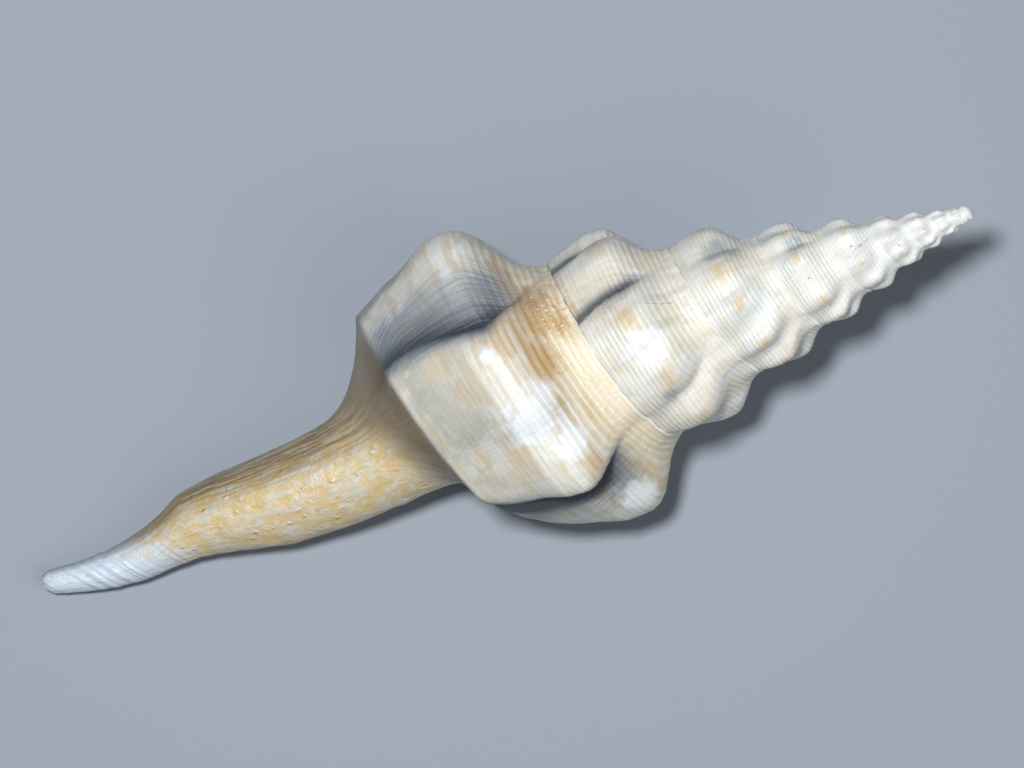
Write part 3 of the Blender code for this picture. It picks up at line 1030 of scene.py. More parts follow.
    def zip_lines(self, first: np.ndarray, second: np.ndarray) -> None:
        """Add triangles between two lines of vertices with different counts.

        Args:
            first: vertices of one line.
            second: vertices of the other line.
        """
        i = j = 0
        lip = self.growth.lip_angle
        while i < len(first) - 1 or j < len(second) - 1:
            share_i = i / (len(first) - 1)
            share_j = j / (len(second) - 1)
            if j == len(second) - 1 or (i < len(first) - 1 and self.ahead(first, second, i, j)):
                corners = (first[i], first[i + 1], second[j])
                i += 1
            else:
                corners = (first[i], second[j + 1], second[j])
                j += 1
            self.net.face([(k, lip, 4.0 * (share_i + share_j) / 2.0) for k in corners])

    def ahead(self, first: np.ndarray, second: np.ndarray, i: int, j: int) -> bool:
        """Tell whether stepping on the first line gives the shorter new edge.

        Args:
            first: vertices of one line.
            second: vertices of the other line.
            i: where the first line stands.
            j: where the second line stands.

        Returns:
            True where the first line steps on.
        """
        if not hasattr(self, "cloud"):
            self.cloud = net_points(self.net)
        one = self.cloud[first[i + 1]] - self.cloud[second[j]]
        two = self.cloud[first[i]] - self.cloud[second[j + 1]]
        return float(one.dot(one)) <= float(two.dot(two))


def net_points(net: GrowthNet) -> np.ndarray:
    """Return the axis space points of a net."""
    n = {name: np.concatenate(values) for name, values in net.parts.items()}
    return wound(n, rib_wave(n))


@dataclass(frozen=True)
class Relief:
    """Heights of the surface relief in drawing units."""

    rib_height: float = 1.0
    cord_height: float = 1.05
    growth_ridge_height: float = 0.8
    unevenness: float = 1.6
    suture_edge_height: float = 2.0
    canal_bump_height: float = 1.3
    suture_sway: float = 2.4
    seed: float = 3.7

    def values(self) -> dict[str, float]:
        """Return the heights by the names of the tree's inputs."""
        return {name.replace("_", " ").title(): value
                for name, value in asdict(self).items()}


class ReliefTree:
    """The node tree that places the net, raises its ribs and adds its relief."""

    def __init__(self) -> None:
        """Build the tree with its named inputs."""
        self.tree = bpy.data.node_groups.new("shell_growth", "GeometryNodeTree")
        face = self.tree.interface
        for name, kind in (("Geometry", "Geometry"), ("Unit", "Float"), ("Pitch", "Float"),
                           *((label, "Float") for label in Relief().values()),
                           ("Shift", "Vector"),
                           *((part.value, "Material") for part in Part)):
            face.new_socket(name, in_out="INPUT", socket_type=f"NodeSocket{kind}")
        face.new_socket("Geometry", in_out="OUTPUT", socket_type="NodeSocketGeometry")
        self.inputs = self.tree.nodes.new("NodeGroupInput")
        placed = self.place_net()
        self.finish(self.raise_relief(placed))

    def size(self, name: str) -> Signal:
        """Return a named input as a signal."""
        return Signal(self.tree, self.inputs.outputs[name])

    def number(self, name: str) -> Signal:
        """Return a growth number of the net.

        Args:
            name: name of the number.

        Returns:
            The number as a signal.
        """
        node = add_node(self.tree, "GeometryNodeInputNamedAttribute", {"Name": name},
                        data_type="FLOAT")
        return Signal(self.tree, node.outputs["Attribute"])

    def place_net(self) -> NodeSocket:
        """Add the nodes that wind the net around the axis and lay the shell down.

        Returns:
            The geometry in its place, still without relief.
        """
        tree, number, size = self.tree, self.number, self.size
        wave = (number("phase") * math.pi).math("COSINE").math("ABSOLUTE")
        wave = wave ** number("sharp")
        low = number("low")
        rib = number("rib") * (low + (number("high") - low) * wave)
        radius = number("valley") + rib * size("Rib Height")
        turn = number("around") * DEGREE
        near = number("row").bump(0.0, 0.05) * number("skin")
        sway = noise(tree, (number("arc") / 17.0, size("Seed")), 1.0, 1.0) - 0.5
        sway = sway * size("Suture Sway") * 2.0 * near
        x = -1.0 * (number("place") + sway)
        y = radius * turn.math("SINE") + number("bend")
        z = radius * turn.math("COSINE") + number("lift")
        pitch, unit = size("Pitch"), size("Unit")
        laid = vector_of(
            tree, (x * pitch.math("COSINE") - z * pitch.math("SINE")) * unit, y * unit,
            (x * pitch.math("SINE") + z * pitch.math("COSINE")) * unit)
        shifted = vector_math(tree, "ADD", laid, size("Shift"))
        return add_node(tree, "GeometryNodeSetPosition", {
            "Geometry": size("Geometry"), "Position": shifted}).outputs[0]

    def height(self) -> Signal:
        """Return the relief height in drawing units.

        Returns:
            The height as a signal.
        """
        tree, number, size = self.tree, self.number, self.size
        arc, row, turn, cord = number("arc"), number("row"), number("turn"), number("cord")
        seed = size("Seed")
        wave = ((cord * FULL_TURN).math("COSINE") * 0.5 + 0.5) ** 0.6
        uneven_cord = noise(tree, (arc / 60.0, cord * 0.37, seed), 1.0, 1.0) * 1.6 - 0.1
        cords = wave * uneven_cord * number("cord_height") * size("Cord Height")
        lean = arc + row.math("MINIMUM", 2.0) * 20.0
        ridge = noise(tree, (lean / 15.0, row * 0.7, seed), 1.0, 2.0, 0.6) - 0.5
        ridges = ridge * size("Growth Ridge Height") * 2.0
        scaled = vector_math(tree, "SCALE",
                             tree.nodes.new("GeometryNodeInputPosition").outputs[0],
                             scale=1.0 / Growth.unit)
        coarse = noise(tree, scaled, 1.0 / 38.0, 2.0) - 0.5
        growth_scale = turn.step(-6.0, 0.0) * 0.8 + 0.2
        uneven = coarse * size("Unevenness") * 2.0 * growth_scale
        fold = noise(tree, (arc / 6.0, row * 9.0, seed), 1.0, 1.0)
        wrinkled = turn.step(-0.28, -0.12) * 1.6 + 0.4
        edge = (row.bump(0.016, 0.014) + (fold - 0.5) * wrinkled * row.step(0.13, 0.02)
                ) * size("Suture Edge Height") * growth_scale
        place = number("place")
        lumps = noise(tree, scaled, 1.0 / 13.0, 0.0)
        side = (number("around") * DEGREE).math("SINE")
        ring = noise(tree, ((place - side * 14.0) / 7.0, 4.0), 1.0, 1.0)
        bumps = lumps * place.step(900.0, 850.0) + (ring - 0.5) * place.step(860.0, 940.0)
        bumps = bumps * row.step(2.6, 3.1) * size("Canal Bump Height")
        return (cords + ridges * growth_scale + uneven + edge + bumps) * number("skin")

    def raise_relief(self, placed: NodeSocket) -> NodeSocket:
        """Add the nodes that move the surface along its normals.

        Args:
            placed: the geometry in its place.

        Returns:
            The geometry with its relief.
        """
        tree = self.tree
        normal = tree.nodes.new("GeometryNodeInputNormal").outputs[0]
        lift = vector_math(tree, "SCALE", normal, scale=self.height() * self.size("Unit"))
        return add_node(tree, "GeometryNodeSetPosition", {
            "Geometry": placed, "Offset": lift}).outputs[0]

    def finish(self, geometry: NodeSocket) -> None:
        """End the tree in Realize Instances and Set Material.

        Args:
            geometry: the geometry with its relief.
        """
        tree = self.tree
        last = add_node(tree, "GeometryNodeRealizeInstances", [geometry]).outputs[0]
        for part in Part:
            paint = add_node(tree, "GeometryNodeSetMaterial", {
                "Geometry": last, "Material": self.size(part.value)})
            if part is Part.INSIDE:
                inner = add_node(tree, "GeometryNodeInputNamedAttribute",
                                 {"Name": "inner"}, data_type="BOOLEAN")
                plug(tree, paint.inputs["Selection"], inner.outputs["Attribute"])
            last = paint.outputs[0]
        add_node(tree, "NodeGroupOutput", [last])


@dataclass(frozen=True)
class ShellFinish:
    """Colours of the shell, scene linear; some are painted highlights and painted shade."""

    white: tuple = (0.74, 0.77, 0.77, 1.0)
    # painted highlight: a blue-white laid where the light falls full on the shell
    frost: tuple = (0.84, 0.90, 0.96, 1.0)
    cream: tuple = (0.70, 0.66, 0.53, 1.0)
    grey: tuple = (0.36, 0.37, 0.32, 1.0)
    # painted shade: the darker tan-grey between the spiral cords
    groove: tuple = (0.32, 0.29, 0.23, 1.0)
    tan: tuple = (0.54, 0.39, 0.18, 1.0)
    orange: tuple = (0.50, 0.30, 0.10, 1.0)
    honey: tuple = (0.76, 0.63, 0.38, 1.0)
    ochre: tuple = (0.60, 0.46, 0.24, 1.0)
    putty: tuple = (0.56, 0.54, 0.45, 1.0)
    brown: tuple = (0.16, 0.11, 0.05, 1.0)
    # blue-grey: painted shade in the valleys, and a grey tone in streaks of the early whorls
    slope: tuple = (0.22, 0.26, 0.33, 1.0)
    shade: tuple = (0.11, 0.13, 0.15, 1.0)
    # painted shadow: near-black in the valley floors, on steep sides and in deep hollows
    valley: tuple = (0.030, 0.042, 0.060, 1.0)
    tip: tuple = (0.50, 0.60, 0.73, 1.0)
    speck: tuple = (0.13, 0.07, 0.04, 1.0)
    inside: tuple = (0.76, 0.70, 0.63, 1.0)
    roughness: float = 0.34


class GroupMaker:
    """Builds shader node groups with named inputs and outputs."""

    def __init__(self, name: str, inputs: dict[str, object], outputs: Sequence[str]) -> None:
        """Start a group.

        Args:
            name: name of the group.
            inputs: default value of each input; a tuple makes a vector.
            outputs: names of the outputs, all plain numbers.
        """
        self.tree = bpy.data.node_groups.new(name, "ShaderNodeTree")
        for label, value in inputs.items():
            kind = "NodeSocketVector" if isinstance(value, tuple) else "NodeSocketFloat"
            socket = self.tree.interface.new_socket(label, in_out="INPUT", socket_type=kind)
            socket.default_value = value
        for label in outputs:
            self.tree.interface.new_socket(label, in_out="OUTPUT",
                                           socket_type="NodeSocketFloat")
        self.enter = self.tree.nodes.new("NodeGroupInput")
        self.leave = self.tree.nodes.new("NodeGroupOutput")

    def take(self, *labels: str) -> list[Signal]:
        """Return inputs as signals."""
        return [Signal(self.tree, self.enter.outputs[label]) for label in labels]

    def give(self, **values: Signal) -> NodeTree:
        """Send signals to the outputs and return the finished group.

        Args:
            values: a signal for each output, by its name.

        Returns:
            The group.
        """
        for label, value in values.items():
            plug(self.tree, self.leave.inputs[label], value)
        return self.tree


class Effects:
    """Shader node groups that the materials share."""

    def __init__(self) -> None:
        """Build every group once."""
        self.lines = self.growth_lines()
        self.threads = self.spiral_threads()
        self.grain = self.chalk_grain()
        self.spot = self.soft_spot()
        self.crack = self.hairline()

    def growth_lines(self) -> NodeTree:
        """Return the group of fine lines that run across the spiral.

        Returns:
            The group, which puts out Height and Streak.
        """
        maker = GroupMaker("growth_lines", {
            "Arc": 0.0, "Row": 0.0, "Spacing": 4.0, "Lean": 24.0, "Contrast": 1.0},
            ("Height", "Streak"))
        arc, row, spacing, lean, contrast = maker.take(
            "Arc", "Row", "Spacing", "Lean", "Contrast")
        arc = arc + row.math("MINIMUM", 2.0) * lean
        fine = noise(maker.tree, (arc / spacing, row * 2.2), 1.0, 2.0, 0.65)
        wide = noise(maker.tree, (arc / (spacing * 6.0), row * 1.1, 4.0), 1.0, 3.0, 0.6)
        return maker.give(Height=(fine - 0.5) * contrast, Streak=wide)

    def spiral_threads(self) -> NodeTree:
        """Return the group of threads that run along the spiral.

        Returns:
            The group, which puts out Height and Streak.
        """
        maker = GroupMaker("spiral_threads", {
            "Arc": 0.0, "Cord": 0.0, "Threads": 3.0}, ("Height", "Streak"))
        arc, cord, threads = maker.take("Arc", "Cord", "Threads")
        wave = (cord * threads * FULL_TURN).math("COSINE")
        uneven = noise(maker.tree, (arc / 40.0, cord * 1.7, 2.0), 1.0, 2.0)
        streak = noise(maker.tree, (arc / 70.0, cord * 0.55, 7.0), 1.0, 3.0, 0.6)
        return maker.give(Height=wave * uneven * 0.6 + (uneven - 0.5), Streak=streak)

    def chalk_grain(self) -> NodeTree:
        """Return the group of the fine grain of a weathered surface.

        Returns:
            The group, which puts out Grain and Mottle.
        """
        maker = GroupMaker("chalk_grain", {"Place": (0.0, 0.0, 0.0), "Size": 2.0},
                           ("Grain", "Mottle"))
        place, size = maker.take("Place", "Size")
        frequency = 1.0 / Growth.unit
        grain = noise(maker.tree, place, frequency / size, 3.0, 0.7)
        mottle = noise(maker.tree, place, frequency / (size * 9.0), 4.0, 0.62, 0.6)
        return maker.give(Grain=grain, Mottle=mottle)

    def soft_spot(self) -> NodeTree:
        """Return the group of a soft round spot around a point.

        Returns:
            The group, which puts out Mask.
        """
        maker = GroupMaker("soft_spot", {"Place": (0.0, 0.0, 0.0),
                                         "Middle": (0.0, 0.0, 0.0), "Radius": 0.001},
                           ("Mask",))
        place, middle, radius = maker.take("Place", "Middle", "Radius")
        wobble = noise(maker.tree, place, 1.0 / (Growth.unit * 9.0), 2.0)
        far = Signal(maker.tree, vector_math(maker.tree, "DISTANCE", place, middle)) / radius
        return maker.give(Mask=(far + (wobble - 0.5) * 0.9).step(1.15, 0.45))

    def hairline(self) -> NodeTree:
        """Return the group of a thin uneven line between two points.

        Returns:
            The group, which puts out Mask.
        """
        maker = GroupMaker("hairline", {
            "Place": (0.0, 0.0, 0.0), "Start": (0.0, 0.0, 0.0), "End": (0.0, 0.0, 0.0),
            "Width": 0.0002}, ("Mask",))
        tree = maker.tree
        place, start, end, width = maker.take("Place", "Start", "End", "Width")
        sway = add_node(tree, "ShaderNodeTexNoise", {
            "Vector": place, "Scale": 1.0 / (Growth.unit * 10.0)})
        centred = vector_math(tree, "SUBTRACT", sway.outputs["Color"], (0.5, 0.5, 0.5))
        moved = vector_math(tree, "SCALE", centred, scale=Growth.unit * 9.0)
        gone = vector_math(tree, "SUBTRACT", vector_math(tree, "ADD", place, moved), start)
        way = vector_math(tree, "SUBTRACT", end, start)
        along = Signal(tree, vector_math(tree, "DOT_PRODUCT", gone, way))
        whole = Signal(tree, vector_math(tree, "DOT_PRODUCT", way, way))
        share = (along / whole).math("MAXIMUM", 0.0).math("MINIMUM", 1.0)
        reached = vector_math(tree, "SCALE", way, scale=share)
        far = Signal(tree, vector_math(tree, "DISTANCE", gone, reached))
        return maker.give(Mask=(far / width).step(1.0, 0.35))


def strongest(masks: Sequence[Signal]) -> Signal:
    """Return the highest of several masks."""
    return reduce(lambda one, two: one.math("MAXIMUM", two), masks)


class ShellPaint:
    """Makes the materials of the shell."""

    # Patches by colour: winding angle, row, radius in drawing units, strength
    # UNDER: grey and putty are tones of the shell; the blue-white patches are painted
    # highlights on the plateau of the last whorl and on the spire
    UNDER = {"grey": ((2.0, 0.88, 38.0, 0.8), (12.0, 0.98, 34.0, 0.8),
                      (28.0, 1.2, 26.0, 0.6)),
             "frost": ((-9.0, 0.52, 30.0, 1.0), (-1.0, 0.37, 22.0, 0.8),
                       (-24.0, 0.38, 22.0, 1.0), (-360.0, 0.55, 24.0, 1.0),
                       (-727.0, 0.40, 20.0, 0.7)),
             "putty": ((24.0, 0.80, 30.0, 0.9), (8.0, 0.70, 24.0, 0.7),
                       (-38.0, 0.72, 30.0, 0.5), (-330.0, 0.80, 26.0, 0.5))}
    STREAKED = {"tan": ((77.0, 0.42, 14.0, 1.0), (76.0, 0.75, 16.0, 0.8),
                        (24.0, 0.84, 24.0, 0.7), (9.0, 0.74, 26.0, 0.7),
                        (16.0, 0.66, 20.0, 0.6), (-26.0, 0.74, 24.0, 0.6),
                        (-340.0, 0.66, 16.0, 0.5), (-383.0, 0.53, 10.0, 0.3)),
                "orange": ((60.0, 0.30, 30.0, 0.6), (50.0, 0.12, 30.0, 0.8),
                           (34.0, 0.10, 30.0, 0.8), (-38.0, 0.36, 17.0, 0.9),
                           (-48.0, 0.48, 18.0, 0.8), (-58.0, 0.66, 18.0, 0.7),
                           (-62.0, 0.44, 14.0, 0.6))}
    ARCHES = {"orange": ((22.0, 0.38, 30.0, 1.0), (34.0, 0.24, 36.0, 1.0),
                         (11.0, 0.29, 28.0, 1.0))}
    # DIM: the blue-grey and shade patches are painted shade in upper valleys, beside knobs and
    # at the turned-away edge of the shoulder knob; the brown patch is a tone of the shell
    DIM = {"slope": ((-668.0, 0.48, 22.0, 0.6), (-1036.0, 0.5, 14.0, 0.6)),
           "brown": ((50.0, 0.17, 24.0, 0.3),),
           "shade": ((-391.0, 0.64, 9.0, 0.45), (-290.0, 0.55, 22.0, 0.4),
                     (86.0, 0.9, 30.0, 0.8), (86.0, 1.5, 34.0, 0.9))}
    # LIGHTS: the blue-white patches are painted highlights on knob crests; the white one is a
    # small white nodule
    LIGHTS = {"frost": ((17.0, 0.53, 9.0, 1.0), (-13.0, 0.62, 14.0, 0.6),
                        (60.0, 0.56, 8.0, 0.8), (59.0, 0.92, 7.0, 0.7),
                        (59.0, 1.03, 7.0, 0.7)),
              "white": ((28.0, 1.36, 5.0, 0.45),)}
    # LAST: a painted highlight on the face of the lowest knob, laid over the painted shade of
    # the valleys
    LAST = {"frost": ((-80.0, 0.40, 24.0, 0.8),)}
    SPECKS = {"speck": ((-1080.0, 0.58, 1.2, 0.9), (-1418.0, 0.58, 1.1, 0.9),
                        (-1372.0, 0.57, 1.1, 0.8), (-1808.0, 0.53, 1.0, 0.9),
                        (-1040.0, 0.59, 0.9, 0.7), (-1123.0, 0.58, 1.0, 0.8),
                        (-1505.0, 0.38, 0.9, 0.7), (-2155.0, 0.44, 0.9, 0.7))}
    CRACKS = (((-343.0, 0.80), (-333.0, 0.71), (-331.0, 0.53), (-338.0, 0.37),
               (-340.0, 0.28), (-338.0, 0.14)),
              ((-1430.0, 0.96), (-1423.0, 0.42), (-1400.0, 0.05)))

    def __init__(self, finish: ShellFinish, effects: Effects, pose: Pose) -> None:
        """Keep the finish, the shared effects and the pose.

        Args:
            finish: colours and gloss.
            effects: the shared groups.
            pose: where the shell lies.
        """
        self.finish = finish
        self.effects = effects
        self.pose = pose

    def start(self, name: str) -> None:
        """Start a material and its common signals.

        Args:
            name: name of the material.
        """
        self.material = bpy.data.materials.new(name)
        self.material.use_nodes = True
        self.tree = self.material.node_tree
        self.shader = self.tree.nodes["Principled BSDF"]
        self.arc, self.row = self.uv("growth")
        self.wave, self.turn = self.uv("form")
        self.cavity = self.attribute("cavity")
        self.place = self.attribute("place")
        self.flank = self.attribute("flank")
        self.cord = self.attribute("cord_uv")
        coords = self.tree.nodes.new("ShaderNodeTexCoord")
        self.object_place = coords.outputs["Object"]

    def uv(self, name: str) -> tuple[Signal, Signal]:
        """Return both numbers of a UV map.

        Args:
            name: name of the UV map.

        Returns:
            The numbers as signals.
        """
        node = add_node(self.tree, "ShaderNodeUVMap", uv_map=name)
        split = add_node(self.tree, "ShaderNodeSeparateXYZ", node.outputs[:1])
        return Signal(self.tree, split.outputs[0]), Signal(self.tree, split.outputs[1])

    def attribute(self, name: str) -> Signal:
        """Return a number stored on the mesh."""
        node = add_node(self.tree, "ShaderNodeAttribute", attribute_name=name)
        return Signal(self.tree, node.outputs["Fac"])

    def effect(self, group: NodeTree, **values: object) -> dict[str, Signal]:
        """Place a shared effect and return its outputs by name.

        Args:
            group: the group of the effect.
            values: what its inputs get, by their names.

        Returns:
            The outputs as signals.
        """
        node = self.tree.nodes.new("ShaderNodeGroup")
        node.node_tree = group
        for label, value in values.items():
            plug(self.tree, node.inputs[label], value)
        return {socket.name: Signal(self.tree, socket) for socket in node.outputs}

    def coat(self, share: object, colour: object) -> None:
        """Lay a colour over what is painted so far, by a share from 0 to 1."""
        self.colour = blend(self.tree, share, self.colour, colour)

    def patch(self, places: Patches, share: object = 1.0) -> None:
        """Lay several patches over what is painted so far.

        Args:
            places: the patches by colour; those of one colour share a mask.
            share: how strongly they show, a number or a signal.
        """
        for name, spots in places.items():
            masks = [self.effect(self.effects.spot, Place=self.object_place,
                                 Middle=self.pose.spot(angle, row),
                                 Radius=radius * Growth.unit)["Mask"] * strength
                     for angle, row, radius, strength in spots]
            self.coat(strongest(masks) * share, getattr(self.finish, name))

    def crack(self) -> None:
        """Draw the hairline cracks on what is painted so far."""
        masks = []
        for crack in self.CRACKS:
            spots = [self.pose.spot(*place) for place in crack]
            masks += [self.effect(self.effects.crack, Place=self.object_place, Start=start,
                                  End=end, Width=0.8 * Growth.unit)["Mask"]
                      for start, end in zip(spots, spots[1:])]
        self.coat(strongest(masks) * 0.55, self.finish.brown)

    def outside(self) -> Material:
        """Return the weathered cream outside, with painted shade and painted highlights.

        Returns:
            The material.
        """
        self.start(Part.OUTSIDE.value)
        tree, look = self.tree, self.finish
        lines = self.effect(self.effects.lines, Arc=self.arc, Row=self.row)
        threads = self.effect(self.effects.threads, Arc=self.arc, Cord=self.cord,
                              Threads=2.0)
        grain = self.effect(self.effects.grain, Place=self.object_place)
        self.whorls = self.row.step(2.4, 1.9)
        self.corded = self.attribute("cord_height")
        self.crown = (self.cord * FULL_TURN).math("COSINE") * 0.5 + 0.5
        self.paint_whorls(lines, threads, grain)
        dark = self.paint_valleys(lines)
        # painted highlight on the lowest knob, over the painted shade
        self.patch(self.LAST, 0.85)
        bumps = self.paint_canal()
        plug(tree, self.shader.inputs["Base Color"], self.colour)
        rough = look.roughness + (grain["Grain"] - 0.5) * 0.25 + dark * 0.2
        plug(tree, self.shader.inputs["Roughness"], rough)
        height = (lines["Height"] * (0.5 + dark * 1.8) * self.whorls
                  + threads["Height"] * (self.corded * 0.45 + 0.06) * self.whorls
                  + self.crown ** 0.6 * self.corded * 0.6
                  + (grain["Grain"] - 0.5) * 0.5 + bumps)
        self.relief(height, 0.9)
        return self.material

    def paint_whorls(self, lines: dict[str, Signal], threads: dict[str, Signal],
                     grain: dict[str, Signal]) -> None:
        """Paint the whorls with some painted light and shade, before the valleys' painted
        shade.

        Args:
            lines: outputs of the growth lines.
            threads: outputs of the spiral threads.
            grain: outputs of the chalk grain.
        """
        tree, look = self.tree, self.finish
        body = self.turn.step(-1.2, -0.8)
        warmth = self.turn.step(-4.5, -0.8)
        cream = grain["Mottle"].step(0.40, 0.60) * (warmth * 0.55 + 0.05)
        self.colour = blend(tree, cream, look.white, look.cream)
        lower = self.row.step(0.50, 0.95) * body
        self.coat(lower * (grain["Mottle"].step(0.6, 0.4) * 0.4 + 0.25), look.grey)
        streaks = threads["Streak"].step(0.46, 0.64) * self.row.step(0.05, 0.3)
        self.coat(streaks * (body * 0.45 + 0.2) * warmth, look.tan)
        along = lines["Streak"].step(0.50, 0.72)
        self.coat(along * 0.3 * warmth, look.tan)
        ramp = self.row.step(0.38, 0.20)
        self.coat(ramp * (body * 0.45 + 0.15) * warmth, look.honey)
        band = self.row.bump(0.32, 0.07) * body * threads["Streak"].step(0.38, 0.60)
        self.coat(band * 0.7, look.tan)
        early = 1.0 - body
        ashen = lines["Streak"].step(0.50, 0.34) * early
        self.coat(ashen * 0.22, look.slope)
        below = self.row.step(0.62, 0.9) * early * self.wave.step(0.9, 0.3)
        self.coat(below * 0.30, look.putty)
        crest = self.wave.step(0.80, 0.95) * self.row.bump(0.56, 0.10) * early
        # painted shade: a grey ring round the tan tops of the early knobs
        around = self.wave.step(0.72, 0.90) * self.row.bump(0.56, 0.2) * early
        self.coat(around * (1.0 - crest) * 0.3, look.grey)
        self.coat(crest * self.turn.step(-7.0, -4.0) * 0.6, look.tan)
        self.patch(self.UNDER, grain["Mottle"].step(0.25, 0.55))
        thin = noise(tree, (self.arc / 55.0, self.cord * 1.3, 9.0), 1.0, 2.0)
        self.patch(self.STREAKED, thin.step(0.32, 0.62))
        arch = (self.crown * 0.6 + 0.4) * threads["Streak"].step(0.15, 0.45)
        self.patch(self.ARCHES, arch)
        # painted shade in the grooves between the spiral cords
        groove = (1.0 - self.crown) * self.corded.step(0.05, 0.7)
        groove = groove * (grain["Mottle"].step(0.35, 0.65) * 0.6 + 0.5)
        self.coat(groove * 0.28, look.groove)
        # painted shade patches, then painted highlights
        self.patch(self.DIM)
        self.patch(self.LIGHTS)
        self.patch(self.SPECKS)
        self.crack()
        dots = (crest * (1.0 - self.crown) * self.turn.step(-4.8, -6.0)
                * lines["Height"].step(0.0, 0.12))
        self.coat(dots, look.speck)
        # painted glints: blue-white dashes on the cord crests of the ramp
        bead_glint = (self.crown.step(0.45, 0.9) * self.row.bump(0.12, 0.08) * warmth
                * noise(tree, (self.arc / 5.0, self.cord), 1.0, 1.0).step(0.52, 0.66))
        self.coat(bead_glint * 0.8, look.frost)
        # painted highlight: places that stand above their neighbourhood are lightened towards
        # white
        high = self.cavity.step(-2.0, -9.0) * (1.0 - crest)
        self.coat(high * 0.25, look.white)

    def paint_canal(self) -> Signal:
        """Paint the canal, with painted shade along one side, and return its small bumps.

        Returns:
            The height of the bumps in drawing units.
        """
        tree, look = self.tree, self.finish
        around = self.attribute("around") * DEGREE
        side, back = around.math("SINE"), around.math("COSINE")

        def drawn(length: float, turns: float, detail: float) -> Signal:
            """Return a noise stretched along the canal."""
            return noise(tree, (self.place / length, side * turns, back * turns), 1.0,
                         detail, 0.62, 0.4)

        broad, small, line = drawn(20.0, 3.0, 3.0), drawn(8.0, 8.0, 2.0), drawn(60.0, 12.0, 3.0)
        canal = blend(tree, (broad + (small - 0.5) * 0.6).step(0.38, 0.64), look.ochre,
                      look.putty)
        canal = blend(tree, small.step(0.50, 0.75) * 0.35, canal, look.cream)
        canal = blend(tree, line.step(0.48, 0.66) * 0.15, canal, look.brown)
        # painted shade: brown along one side of the canal, broken by lengthwise streaks
        edge = side.step(0.05, 0.8)
        canal = blend(tree, edge * (line.step(0.38, 0.60) * 0.45 + 0.45), canal, look.brown)
        self.coat(self.row.step(2.25, 2.9), canal)
        rings = noise(tree, ((self.place - side * 14.0) / 7.0, 4.0), 1.0, 1.0)
        tip = (self.place - side * 30.0 + (broad - 0.5) * 90.0).step(855.0, 935.0)
        tip = tip * self.row.step(2.9, 3.1)
        frosted = blend(tree, rings.step(0.35, 0.65) * 0.35, look.tip, look.white)
        frosted = blend(tree, side.step(0.5, 1.0) * 0.6, frosted, look.shade)
        self.coat(tip, frosted)
        knots = cells(tree, vector_of(tree, self.place / 15.0, side * 4.5, back * 4.5))
        knots = knots.step(0.34, 0.0) * small.step(0.40, 0.60)
        bumps = self.row.step(2.2, 2.8) * (
            (broad - 0.5) * 2.2 + knots * 1.4 + (small - 0.5) * 0.6
            + (line - 0.5) * 1.0 * edge + (rings - 0.5) * tip * 5.0)
        return bumps * (1.0 - tip * 0.5)

    def paint_valleys(self, lines: dict[str, Signal]) -> Signal:
        """Paint shade into the valleys and under the body whorl, and return its strength.

        Args:
            lines: outputs of the growth lines.

        Returns:
            The strength of the painted shade from 0 to 1.
        """
        tree, look = self.tree, self.finish
        body = self.turn.step(-1.02, -0.95)
        strength = self.turn.step(-1.33, -1.20) * 0.94 + 0.06
        lower = self.row.step(0.14, 0.40)
        above = self.row.step(2.5, 1.9)
        crisp = noise(tree, ((self.arc + self.row * 20.0) / 3.4, self.row * 0.8, 6.0),
                      1.0, 2.0, 0.55).step(0.40, 0.60)
        flank = self.flank.step(0.004, 0.018) * lower
        # painted shade: blue-grey over the valleys and the hollows that the cavity number finds
        wide = self.wave.step(0.88, 0.40) * body + self.wave.step(0.6, 0.1) * (1.0 - body)
        wide = wide * lower * above * (self.turn.step(-0.40, -0.50) * -0.75 + 1.0)
        grey = wide.math("MAXIMUM", self.cavity.step(1.5, 8.0))
        grey = grey * (lines["Streak"].step(0.3, 0.7) * 0.4 + 0.7) * (crisp * 0.4 + 0.6)
        self.coat((grey * strength).math("MINIMUM", 1.0), look.slope)
        deep = self.wave.step(0.62, 0.12) * lower * above * body * (1.0 - crisp * 0.55)
        deep = deep * self.turn.step(-0.52, -0.38)
        self.coat(deep * 0.85, look.shade)
        # painted shadow: near-black on steep sides that face the lip, in valley floors and in
        # deep hollows
        floor = self.wave.step(0.22, -0.06) * self.row.step(0.25, 0.5) * above
        dark = (flank.math("MAXIMUM", floor) * strength
                + self.cavity.step(6.0, 14.0) * 0.5).math("MINIMUM", 1.0)
        self.coat(dark * 0.88, look.valley)
        # painted shade: brown in the hollow below the body whorl and onto the neck
        base = self.row.step(1.82, 2.10) * self.row.step(3.0, 2.5)
        self.coat(base * (crisp * 0.1 + 0.74), look.brown)
        fold = noise(tree, (self.arc / 6.0, self.row * 9.0, 3.7), 1.0, 1.0)
        fold = fold.step(0.44, 0.30) * self.row.step(0.12, 0.02)
        fold = fold * (self.turn.step(-0.28, -0.12) * 0.3 + 0.06)
        # painted shadow: a thin brown line on the older whorl just under the suture
        under = self.row.bump(1.0, 0.012) * self.turn.step(-0.9, -1.0)
        self.coat((fold + under * 0.6) * self.turn.step(-4.0, -0.9), look.brown)
        rim = self.row.step(0.022, 0.010)
        self.coat(rim * 0.6, look.white)
        return dark.math("MAXIMUM", grey)

